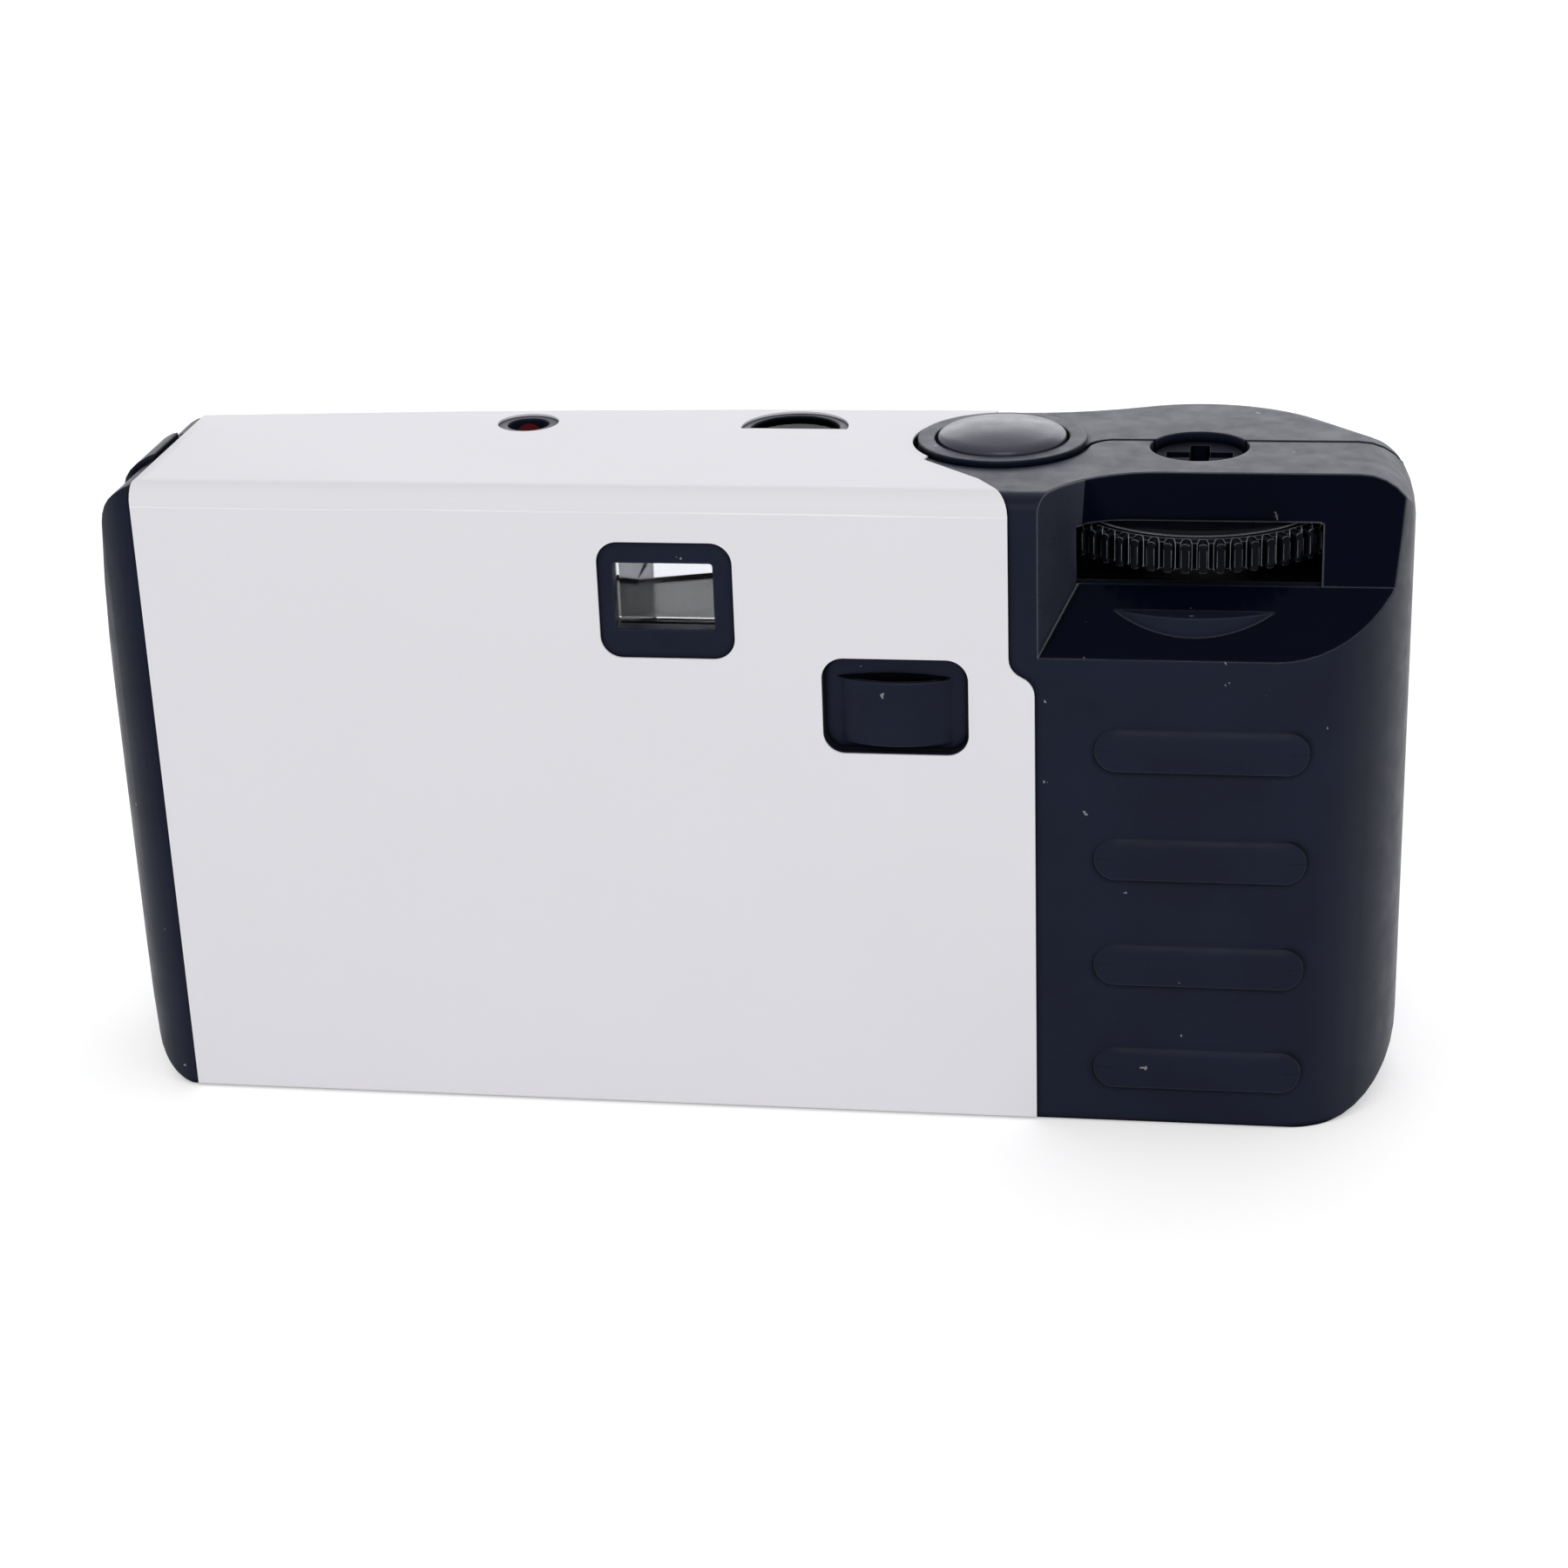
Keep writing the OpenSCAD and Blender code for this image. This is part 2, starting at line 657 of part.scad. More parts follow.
// Rear cover: back shell with the thumb pocket, grip ribs, film platen and pry tongue
module rear_cover() color(black) {
    frame_y = back_y + tongue_recess_d;
    tongue_r = (pow(tongue_w / 2, 2) + pow(tongue_bulge, 2)) / (2 * tongue_bulge);
    tongue_axis_y = frame_y - tongue_bulge + tongue_r;
    tongue_z0 = tongue_z - 3.8;
    tongue_z1 = tongue_z + 2.3;
    tongue_rim = 0.5;
    platen_y = film_y - film_t / 2 - 0.2;
    boss_z = pocket_foot_z - pocket_floor_h - 0.5;
    boss_top = cart_top + 0.85;
    boss_roof = 0.6;
    window_x = wheel_x + 0.3;
    catch_r = 4;
    catch_h = 0.6;
    catch_a = 40;
    catch_x = -half_w + 6.3;
    difference() {
        union() {
            difference() {
                union() {
                    difference() {
                        body_slice(0, -far, rear_edge_y);
                        pocket_cut(0);
                    }
                    intersection() {
                        bar_z(wheel_x, axis_y, chamber_r, boss_z, boss_top);
                        body_slice(0, -far, rear_edge_y);
                    }
                }
                difference() {
                    body_slice(wall, -far, seam_y + 1);
                    pocket_cut(pocket_wall);
                }
                intersection() {
                    bar_z(wheel_x, axis_y, cart_cap_r + 0.2, 0, boss_top - boss_roof);
                    body_slice(wall, -far, seam_y + 1);
                }
            }
            for (i = [0:rib_n - 1])
                along_y(back_y - rib_h, back_y + wall / 2)
                    round_rect([wheel_x + 0.95, rib_z + i * rib_pitch], [rib_l, rib_w], rib_w / 2 - 0.01);
            block(
                [lens_x - gate_w / 2 - 1, back_y + wall - 0.3, film_z - film_w / 2 + 1],
                [tongue_x + tongue_recess_w / 2 + 1, platen_y, tongue_z + tongue_recess_h / 2 + 0.5]
            );
            intersection() {
                body(-catch_h);
                translate([catch_x, axis_y - 3.2, body_h - top_left_r])
                    rotate([0, -catch_a, 0])
                        translate([0, 0, top_left_r - wall]) cylinder(r = catch_r, h = 2 * wall);
                block([-far, -far, 0], [-half_w + label_left - 0.4, rear_edge_y, far]);
            }
        }
        along_y(-far, back_y + wall + 0.1)
            round_rect([finder_x, eye_z], [eye_w, eye_h], 0.3);
        block(
            [window_x - window_w / 2, back_y - 1, pocket_foot_z],
            [window_x + window_w / 2, axis_y - 1, pocket_foot_z + window_h]
        );
        bar_z(wheel_x, axis_y, wheel_r + wheel_clear, wheel_z - wheel_clear, wheel_top + wheel_clear);
        bar_z(wheel_x, axis_y, key_r, wheel_top, far);
        translate([0, 0, top_in - 1]) linear_extrude(far) collar_outline(seam_gap);
        along_y(-far, frame_y)
            round_rect([tongue_x, tongue_z], [tongue_recess_w, tongue_recess_h], cutout_r);
    }
    difference() {
        intersection() {
            bar_z(tongue_x, tongue_axis_y, tongue_r, tongue_z0, tongue_z1);
            block([-far, -far, 0], [far, frame_y + 0.2, body_h]);
        }
        intersection() {
            bar_z(tongue_x, tongue_axis_y, tongue_r - tongue_rim, tongue_z1 - 3, tongue_z1 + 1);
            block([-far, -far, 0], [far, frame_y, body_h]);
        }
    }
}

// Collar of the shutter button and its web to the parting plane, grown by e
module collar_outline(e) {
    web_y = front_edge_y - collar_web_r;
    web_x = button_x + sqrt(pow(collar_r + collar_web_r, 2) - pow(web_y - button_y, 2));
    translate([button_x, button_y]) circle(collar_r + e);
    difference() {
        polygon([[button_x, button_y], [web_x, web_y], [web_x, front_edge_y], [button_x, front_edge_y]]);
        translate([web_x, web_y]) circle(collar_web_r - e);
    }
}

// D-shaped outline of the counter window, inset by d
module counter_outline(d) {
    intersection() {
        translate([counter_x, axis_y + counter_y]) circle(counter_r - d);
        translate([counter_x - counter_r, axis_y + counter_y - 0.65 + d])
            square([2 * counter_r, 2 * counter_r]);
    }
}

// Front cover: front shell with the button collar, windows and the grip bulge
module front_cover() color(black) {
    difference() {
        union() {
            difference() {
                crowned_body(0);
                body_slice(wall, front_edge_y - 1, far);
                block([-far, -far, -far], [far, front_edge_y, far]);
            }
            translate([0, 0, top_in]) linear_extrude(wall) collar_outline(0);
            bar_z(button_x, button_y, collar_r, top_in, body_h + collar_h);
        }
        bar_z(button_x, button_y, button_r + run_clear, top_in - 1, far);
        bar_z(wheel_x, axis_y, key_r, wheel_top, far);
        bar_y(lens_x, film_z, bezel_r + 0.2, 0, far);
        along_y(axis_y + 2, far)
            round_rect([finder_x, finder_z], [finder_w + 1, finder_h + 0.6], 1);
        along_y(axis_y + 2, far) round_rect([flash_x, flash_z], [flash_w, flash_h], 1);
        bar_y(flash_button_x, flash_button_z, flash_button_r + run_clear, axis_y + 2, far);
        translate([0, 0, top_in - 1]) linear_extrude(far) counter_outline(0.8);
        bar_z(lamp_x, axis_y + 5, lamp_r + 0.5, top_in - 1, far);
    }
}

// Main body: film gate, light tunnel, shutter seat, mechanism deck and film chambers
module main_body() color(deep_black) {
    gate_z0 = wall + 0.3;
    seat_half = [11, 13];
    deck_left = 11.5;
    tunnel_wall = 1.5;
    tunnel_end = 5.5;
    chamber_x = roll_x - 11;
    axle_r = 2.2;
    ear_w = 2.8;
    ear_gap = lever_w / 2 + 0.5;
    ear_t = 1.2;
    ear_top = lever_top + 1;
    guide_post = [button_x + 0.75, axis_y + 6];
    guide_post_r = 1.6;
    difference() {
        union() {
            block([gate_left, rail_y, gate_z0], [gate_right, plate_y, deck_top]);
            taper_y(
                [lens_x, film_z],
                [gate_w / 2 + tunnel_wall, gate_h / 2 + tunnel_wall],
                [tunnel_end + tunnel_wall, tunnel_end + tunnel_wall],
                plate_y - 0.2, seat_y - seat_t + 0.2
            );
            block(
                [lens_x - seat_half[0], seat_y - seat_t, film_z - seat_half[1] + 1.5],
                [lens_x + seat_half[0] + 2, seat_y, film_z + seat_half[1] + 1.5]
            );
            block([lens_x - deck_left, plate_y - 0.2, deck_z], [gate_right + 2, deck_front, deck_top]);
            block([gate_right, plate_y - 0.2, chamber_floor_z], [gate_right + 1.2, deck_front, deck_z + 0.2]);
            block([chamber_x, plate_y - 0.2, deck_z], [lens_x - deck_left + 0.2, board_y - 0.1, deck_top]);
            block(
                [chamber_x, plate_y - 0.2, chamber_floor_z],
                [gate_left + 0.2, roll_y + roll_r, chamber_floor_z + chamber_t]
            );
            block(
                [chamber_x - 1.2, plate_y - 0.2, chamber_floor_z],
                [chamber_x, roll_y + roll_r, deck_top]
            );
            block(
                [gate_left + 5, plate_y - 0.2, gate_z0],
                [gate_right - 5, battery_y - battery_r - 0.5, gate_z0 + 1.2]
            );
            block(
                [sprocket_x - 4.4, plate_y - 0.2, shelf_z],
                [gate_right + 0.2, sprocket_y + 3.5, shelf_z + shelf_t]
            );
            bar_z(dial_x, dial_y, dial_post_r, deck_top - 0.2, dial_top + 0.2);
            bar_z(dial_x, dial_y, dial_post_r + 1.2, deck_top - 0.2, dial_z - 0.3);
            bar_z(striker_x, striker_y, striker_post_r, deck_top - 0.2, striker_z + striker_t + 1.6);
            bar_y(blade_x, blade_z, blade_pin_r, seat_y - 0.2, blade_y + blade_t + 0.1);
            for (s = [-1, 1])
                translate([lever_axis_x, axis_y + s * (ear_gap + ear_t / 2), (deck_top - 0.2 + ear_top) / 2])
                    cube([ear_w, ear_t, ear_top - deck_top + 0.2], center = true);
            block(
                [button_x - 4.75, axis_y - 3.5, stem_guide_top - stem_guide_t],
                [button_x + 3.25, guide_post[1] + guide_post_r, stem_guide_top]
            );
            bar_z(guide_post[0], guide_post[1], guide_post_r, deck_top - 0.2, stem_guide_top - 0.2);
            bar_z(pawl_x, pawl_y, pawl_pin_r, stem_guide_top - 0.2, stem_guide_top + 1.5);
        }
        along_y(back_y, plate_y + 0.01) round_rect([lens_x, film_z], [gate_w, gate_h], 0.5);
        taper_y(
            [lens_x, film_z], [gate_w / 2, gate_h / 2], [tunnel_end, tunnel_end],
            plate_y - 0.2, seat_y - seat_t
        );
        bar_y(lens_x, film_z, stop_r + 1.4, 0, far);
        bar_z(sprocket_x, sprocket_y, shaft_r + 0.25, shelf_z - 1, far);
        block(
            [sprocket_x - sprocket_r - 1, back_y, sprocket_z - 0.8],
            [sprocket_x + sprocket_r + 1, sprocket_y + sprocket_r + 0.7, sprocket_z + sprocket_t + 0.8]
        );
        bar_z(roll_x, roll_y, axle_r, 0, far);
        bar_y(lever_axis_x, lever_axis_z, lever_pin_r + 0.1, axis_y - 6, axis_y + 6);
        bar_z(button_x, button_y, stem_r + run_clear, stem_guide_top - 2, stem_guide_top + 1);
        finder_body(finder_room);
    }
}

// Wrap label: printed sheet round the back, top and front
module wrap_label() color(white) {
    left = -half_w + label_left;
    right = wheel_x - label_right;
    notch = right - label_step;
    fold_z = body_h - fold_r;
    collar_gap = collar_r + 0.5;
    front_right = bow_x - 2;
    step_a = 2 * atan2(label_step, label_step_h);
    step_r = label_step_h / (2 * sin(step_a));
    step_top = label_step_z + label_step_h;
    difference() {
        intersection() {
            crowned_body(-label_t);
            union() {
                along_y(-far, axis_y - 6)
                    polygon(concat(
                        [[left, label_foot], [right, label_foot]],
                        arc([right - step_r, label_step_z], step_r, 0, step_a, 5),
                        arc([notch + step_r, step_top], step_r, 180 + step_a, 180, 5, 1),
                        [[notch, fold_z], [left, fold_z]]
                    ));
                translate([0, 0, fold_z]) linear_extrude(far)
                    difference() {
                        polygon([
                            [left, back_y - 5], [notch, back_y - 5], [notch, back_y - label_t],
                            [notch - 2.9, back_y + 4.4], [notch - 8.35, back_y + 9.9],
                            [front_right - 4, axis_y], [front_right, axis_y + 8],
                            [front_right, far], [left, far]
                        ]);
                        translate([button_x, button_y]) circle(collar_gap);
                    }
                along_y(axis_y + 2, far)
                    polygon([
                        [left, label_foot], [front_right, label_foot], [front_right, fold_z], [left, fold_z]
                    ]);
            }
        }
        crowned_body(0);
        along_y(-far, back_y + 5)
            round_rect([eye_frame_x, eye_frame_z], [eye_frame_w, eye_frame_h], cutout_r);
        along_y(-far, back_y + 5)
            round_rect([tongue_x, tongue_z], [tongue_recess_w, tongue_recess_h], cutout_r);
        translate([0, 0, fold_z]) linear_extrude(far) counter_outline(0);
        bar_z(lamp_x, axis_y + 5, lamp_hole_r, fold_z, far);
        bar_y(lens_x, film_z, bezel_r + 0.6, axis_y + 2, far);
        along_y(axis_y + 2, far)
            round_rect([finder_x, finder_z], [finder_w + 3, finder_h + 1.6], 1);
        along_y(axis_y + 2, far) round_rect([flash_x, flash_z], [flash_w + 1.6, flash_h + 1.6], 1.5);
        bar_y(flash_button_x, flash_button_z, flash_button_r + 0.9, axis_y + 2, far);
    }
}

// Lens bezel: ring with a funnel that holds the lens
module lens_bezel() color(black) {
    bore_r = lens_r + 0.2;
    lip_r = lens_r - 1.2;
    lip_y = lens_y + lens_t + 0.2;
    mouth_r = bezel_r - 3.6;
    flange_r = bezel_r + 1.5;
    flange_in = 7.4;
    translate([lens_x, 0, film_z]) rotate([-90, 0, 0]) rotate_extrude()
        polygon([
            [flange_in, flange_y], [flange_r, flange_y], [flange_r, flange_y + flange_t],
            [bezel_r, flange_y + flange_t], [bezel_r, bezel_y - 1.6], [bezel_r - 1.4, bezel_y],
            [mouth_r, bezel_y], [lip_r, lip_y + 0.6], [lip_r, lip_y], [bore_r, lip_y],
            [bore_r, stop_y + stop_t + 0.1], [flange_in, stop_y + stop_t + 0.1]
        ]);
}

// Taking lens: moulded meniscus
module taking_lens() color(clear) {
    front_ball = 14;
    rear_ball = 18;
    intersection() {
        bar_y(lens_x, film_z, lens_r, lens_y, lens_y + lens_t);
        translate([lens_x, lens_y + lens_t - front_ball, film_z]) sphere(front_ball);
        difference() {
            bar_y(lens_x, film_z, lens_r + 1, lens_y - 1, lens_y + lens_t + 1);
            translate([lens_x, lens_y - rear_ball + 0.5, film_z]) sphere(rear_ball);
        }
    }
}

// Aperture plate: thin disc with the fixed stop
module aperture_plate() color(deep_black) {
    difference() {
        bar_y(lens_x, film_z, stop_plate_r, stop_y, stop_y + stop_t);
        bar_y(lens_x, film_z, stop_r, stop_y - 1, stop_y + stop_t + 1);
    }
}

// Shutter blade: disc on an arm, with a tail that the striker knocks
module shutter_blade() color(steel) {
    tail = [striker_x - 4.3, deck_top + 1.6];
    arm_w = 1.2;
    difference() {
        along_y(blade_y, blade_y + blade_t) {
            translate([lens_x, film_z]) circle(blade_r);
            translate([blade_x, blade_z]) circle(blade_boss_r);
            polygon(strip([lens_x, film_z], [blade_x, blade_z], arm_w));
            polygon(strip([blade_x, blade_z], tail, 1));
        }
        bar_y(blade_x, blade_z, blade_pin_r + 0.1, blade_y - 1, blade_y + blade_t + 1);
    }
}

// Straight strip between two points with half width h
function strip(a, b, h) =
    let (u = (b - a) / norm(b - a), n = h * [-u[1], u[0]])
    [a - n, b - n, b + n, a + n];

// Shutter return spring: flat torsion coil round the blade's pivot
module shutter_spring() color(steel) {
    difference() {
        bar_y(blade_x, blade_z, 2.2, seat_y + 0.02, blade_y - 0.1);
        bar_y(blade_x, blade_z, blade_pin_r + 0.1, seat_y - 1, blade_y + 1);
    }
}

// Striker lever: knocks the shutter blade's tail
module striker_lever() color(steel) {
    difference() {
        union() {
            bar_z(striker_x, striker_y, striker_boss_r, striker_z, striker_z + striker_t);
            block(
                [striker_x - striker_arm_w / 2, striker_y, striker_z],
                [striker_x + striker_arm_w / 2, striker_y + striker_l, striker_z + striker_t]
            );
            bar_z(striker_x, striker_y + striker_l, striker_arm_w / 2, striker_z, striker_z + striker_t);
        }
        bar_z(striker_x, striker_y, striker_post_r + 0.1, striker_z - 1, striker_z + striker_t + 1);
    }
}

// Striker spring: torsion coil on the striker's post
module striker_spring() color(steel) {
    spring_z = striker_z + striker_t + 0.15;
    difference() {
        bar_z(striker_x, striker_y, 2.1, spring_z, spring_z + 1.2);
        bar_z(striker_x, striker_y, striker_post_r + 0.1, spring_z - 1, spring_z + 2);
    }
}

// Release lever: rocker that the button's stem pushes down
module release_lever() color(black) {
    reach = button_x + lever_tip - lever_axis_x;
    trunnion = lever_w / 2 + 1.5;
    block(
        [lever_axis_x, axis_y - lever_w / 2, lever_top - lever_t],
        [lever_axis_x + reach, axis_y + lever_w / 2, lever_top]
    );
    bar_y(lever_axis_x, lever_axis_z, lever_pin_r + 0.5, axis_y - lever_w / 2, axis_y + lever_w / 2);
    bar_y(lever_axis_x, lever_axis_z, lever_pin_r, axis_y - trunnion, axis_y + trunnion);
}

// Shutter button: domed cap with a retaining flange and a stem
module shutter_button() color("#3a3c44") {
    ball = (pow(button_r, 2) + pow(button_dome, 2)) / (2 * button_dome);
    translate([button_x, button_y, 0]) {
        intersection() {
            translate([0, 0, button_flange_z]) cylinder(r = button_r, h = button_top - button_flange_z);
            translate([0, 0, button_top - ball]) sphere(ball);
        }
        translate([0, 0, button_flange_z]) cylinder(r = button_flange_r, h = button_flange_t);
        translate([0, 0, stem_guide_top - stem_guide_t + 0.2])
            cylinder(r = stem_r, h = button_flange_z - stem_guide_top + stem_guide_t);
        translate([0, 0, stem_tip_z]) cylinder(r = stem_tip_r, h = button_flange_z - stem_tip_z);
    }
}

// Button return spring: sleeve-shaped coil round the stem
module button_spring() color(steel) {
    difference() {
        bar_z(button_x, button_y, stem_r + 1, stem_guide_top + 0.1, button_flange_z - 0.1);
        bar_z(button_x, button_y, stem_r + 0.4, stem_guide_top - 1, button_flange_z + 1);
    }
}

// Thumbwheel: toothed wheel with a keyed hub that turns the cartridge's spool
module thumbwheel() color(deep_black) {
    root_r = wheel_r - wheel_tooth_h;
    pitch = 360 / wheel_teeth;
    hub_r = key_r - run_clear;
    hub_top = body_h - 0.8;
    drive_r = spool_r - 2.3;
    step_h = 0.4;
    difference() {
        union() {
            translate([wheel_x, axis_y, wheel_z]) linear_extrude(wheel_t)
                polygon([
                    for (i = [0:wheel_teeth - 1],
                         s = [[-0.36, root_r], [-0.2, wheel_r], [0.2, wheel_r], [0.36, root_r]])
                        s[1] * [cos((i + s[0]) * pitch), sin((i + s[0]) * pitch)]
                ]);
            bar_z(wheel_x, axis_y, root_r - 0.9, wheel_top - 0.5, wheel_top + step_h);
            bar_z(wheel_x, axis_y, hub_r, wheel_top - 0.5, hub_top);
            bar_z(wheel_x, axis_y, hub_r, cart_top + 3.2, wheel_z + 0.5);
            bar_z(wheel_x, axis_y, drive_r, cart_top + 0.8, wheel_z);
        }
        for (a = [0, 90])
            translate([wheel_x, axis_y, hub_top - 2]) rotate([0, 0, a])
                block([-3, -0.9, 0], [3, 0.9, 4]);
    }
}

// Anti-reverse pawl: sprung finger beside the thumbwheel's teeth
module ratchet_pawl() color(steel) {
    pawl_z = stem_guide_top + 0.3;
    pawl_t = 1;
    tip = grip_f + (wheel_r + 0.75) * [cos(pawl_a), sin(pawl_a)];
    translate([0, 0, pawl_z]) linear_extrude(pawl_t)
        difference() {
            union() {
                translate([pawl_x, pawl_y]) circle(1.9);
                polygon(strip([pawl_x, pawl_y], tip, 0.45));
                translate(tip) circle(0.45);
            }
            translate([pawl_x, pawl_y]) circle(pawl_pin_r + 0.1);
        }
}

// Cartridge shell: rolled sheet with the lips that the film passes through
module cartridge_shell() color("#3d6b50") {
    skin = 0.3;
    lip_out = 0.7;
    z0 = cart_z + 1.5;
    z1 = cart_top - 1.5;
    difference() {
        union() {
            bar_z(wheel_x, axis_y, cart_r, z0, z1);
            block(
                [lip_x, film_y - lip_out, film_z - film_w / 2 - 0.6],
                [wheel_x - 3, film_y + lip_out, film_z + film_w / 2 + 0.6]
            );
        }
        bar_z(wheel_x, axis_y, cart_r - skin, z0 - 1, z1 + 1);
        block(
            [lip_x - 1, film_y - film_t / 2 - 0.1, film_z - film_w / 2 - 0.1],
            [wheel_x - 3, film_y + film_t / 2 + 0.1, film_z + film_w / 2 + 0.1]
        );
    }
}

// Cartridge end caps: crimped discs with the spool's bearing hole
module cartridge_end_caps() color(steel) {
    for (z = [cart_z, cart_top - 1.5])
        difference() {
            bar_z(wheel_x, axis_y, cart_cap_r, z, z + 1.5);
            bar_z(wheel_x, axis_y, spool_r + run_clear, z - 1, z + 3);
        }
}

// Cartridge spool: flanged core that the thumbwheel turns
module cartridge_spool() color(black) {
    spool_flange_r = cart_r - 2;
    spool_top = cart_top + 2.9;
    difference() {
        union() {
            bar_z(wheel_x, axis_y, spool_r, cart_z + 0.3, spool_top);
            for (z = [film_z - film_w / 2 - 2, film_z + film_w / 2 + 1.2])
                bar_z(wheel_x, axis_y, spool_flange_r, z, z + 0.8);
        }
        bar_z(wheel_x, axis_y, spool_r - 2, cart_top + 0.5, spool_top + 1);
    }
}

// Film strip: the length across the gate, with its perforations
module film_strip() color(film_tone) {
    strip_x0 = roll_x + 3.4;
    strip_x1 = wheel_x - 11;
    perf_pitch = 4.75;
    perf_n = floor((strip_x1 - strip_x0 - 4) / perf_pitch);
    perf = [1.9, 2.8];
    difference() {
        block(
            [strip_x0, film_y - film_t / 2, film_z - film_w / 2],
            [strip_x1, film_y + film_t / 2, film_z + film_w / 2]
        );
        for (i = [0:perf_n], s = [-1, 1])
            translate([
                strip_x0 + 2 + i * perf_pitch, film_y - 1,
                film_z + s * (film_w / 2 - 3.4) - perf[1] / 2
            ])
                cube([perf[0], 2, perf[1]]);
    }
}

// Film roll: film wound ready on the supply spool
module film_roll() color(film_tone) {
    difference() {
        bar_z(roll_x, roll_y, roll_r, film_z - film_w / 2, film_z + film_w / 2);
        bar_z(roll_x, roll_y, core_r + 0.05, 0, body_h);
    }
}

// Supply spool: core and axle ends that run in the left chamber
module supply_spool() color(black) {
    axle_r = 2;
    bar_z(roll_x, roll_y, core_r, core_z, film_z + film_w / 2 + 0.5);
    bar_z(roll_x, roll_y, axle_r, chamber_floor_z + 0.2, deck_top - 0.4);
}

// Sprocket shaft: film sprocket, cocking cam and counter finger on one shaft
module sprocket_shaft() color(white) {
    root_r = sprocket_r - 1.2;
    pitch = 360 / sprocket_teeth;
    cam_z = striker_z + striker_t + 0.7;
    finger_r = norm([dial_x - sprocket_x, dial_y - sprocket_y]) - dial_r - 0.3;
    translate([sprocket_x, sprocket_y, 0]) {
        translate([0, 0, shelf_z + 0.2]) cylinder(r = shaft_r, h = dial_top - shelf_z - 0.2);
        translate([0, 0, sprocket_z]) linear_extrude(sprocket_t)
            polygon([
                for (i = [0:sprocket_teeth - 1],
                     s = [[-0.25, root_r], [-0.12, sprocket_r], [0.12, sprocket_r], [0.25, root_r]])
                    s[1] * [cos((i + s[0]) * pitch), sin((i + s[0]) * pitch)]
            ]);
        translate([0, 0, cam_z]) difference() {
            cylinder(r = 3.2, h = 1.2);
            translate([3.4, 0, -1]) cylinder(r = 1, h = 4);
        }
        translate([0, 0, dial_z]) intersection() {
            cylinder(r = finger_r, h = dial_t);
            block([-0.6, -5, -1], [0.6, 0, dial_t + 1]);
        }
    }
}

// Counter dial: notched disc that carries the frame numbers
module counter_dial() color(white) {
    difference() {
        bar_z(dial_x, dial_y, dial_r, dial_z, dial_top);
        bar_z(dial_x, dial_y, dial_post_r + 0.1, dial_z - 1, dial_top + 1);
        for (i = [0:dial_notches - 1])
            translate([dial_x, dial_y, dial_z - 1]) rotate([0, 0, i * 360 / dial_notches])
                translate([dial_r, 0, 0]) cylinder(r = 0.45, h = dial_t + 2);
    }
}

// Counter window: clear insert over the dial
module counter_window() color(clear) {
    translate([0, 0, top_in - 0.2]) linear_extrude(1.3) counter_outline(0.9);
}

// Viewfinder tunnel: tapering housing between the eyepiece and the front window
module viewfinder_tunnel() color(deep_black) {
    difference() {
        finder_body(0);
        taper_y(
            [finder_x, finder_z], finder_half(finder_rear_y), finder_half(finder_front_y),
            finder_rear_y - 0.001, finder_front_y + 0.001
        );
    }
}

// Outside of the viewfinder tunnel, grown by e
module finder_body(e) {
    skin = [finder_wall + e, finder_wall + e];
    taper_y(
        [finder_x, finder_z], finder_half(finder_rear_y) + skin, finder_half(finder_front_y) + skin,
        finder_rear_y - e, finder_front_y + e
    );
}

// Half size of the viewfinder's passage at depth y
function finder_half(y) =
    let (t = (y - finder_rear_y) / (finder_front_y - finder_rear_y))
    [eye_w / 2 + 0.2, eye_h / 2 + 0.2] * (1 - t) + [finder_w, finder_h] / 2 * t;

// Viewfinder eyepiece: small bulging lens
module viewfinder_eyepiece() color(clear) {
    ball = 22;
    y0 = finder_rear_y + 0.1;
    h = finder_half(y0) - [0.15, 0.15];
    intersection() {
        block(
            [finder_x - h[0], y0, finder_z - h[1]],
            [finder_x + h[0], y0 + finder_lens_t, finder_z + h[1]]
        );
        translate([finder_x, y0 + ball, finder_z]) sphere(ball, $fn = 240);
    }
}

// Viewfinder objective: hollow lens behind the front window
module viewfinder_objective() color(clear) {
    ball = 24;
    y1 = finder_front_y - 0.1;
    y0 = y1 - finder_lens_t;
    h = finder_half(y0) - [0.15, 0.15];
    difference() {
        block([finder_x - h[0], y0, finder_z - h[1]], [finder_x + h[0], y1, finder_z + h[1]]);
        translate([finder_x, y1 + ball - 0.7, finder_z]) sphere(ball, $fn = 240);
    }
}

// Flash window: clear panel that follows the front
module flash_window() color(clear) {
    gap = 0.15;
    intersection() {
        difference() {
            body(0.1);
            body(wall - 0.1);
        }
        along_y(axis_y + 2, far) round_rect([flash_x, flash_z], [flash_w - 2 * gap, flash_h - 2 * gap], 1);
    }
}

// Flash reflector: bright trough behind the window
module flash_reflector() color(steel) {
    half = [flash_w / 2 - 0.5, flash_h / 2 - 0.3];
    trough_r = half[1] - 0.5;
    trough_y = reflector_back + 0.6 + trough_r;
    end_t = 0.8;
    difference() {
        block(
            [flash_x - half[0], reflector_back, flash_z - half[1]],
            [flash_x + half[0], reflector_front, flash_z + half[1]]
        );
        bar_x(trough_y, flash_z, trough_r, flash_x - half[0] + end_t, flash_x + half[0] - end_t);
        block(
            [flash_x - half[0] + end_t, trough_y, flash_z - trough_r],
            [flash_x + half[0] - end_t, reflector_front + 1, flash_z + trough_r]
        );
        bar_x(tube_y, flash_z, tube_r + 0.2, flash_x - flash_w, flash_x + flash_w);
    }
}

// Flash tube: glass rod across the reflector
module flash_tube() color(clear) {
    bar_x(tube_y, flash_z, tube_r, flash_x - flash_w / 2 - 0.6, flash_x + flash_w / 2 + 0.6);
}

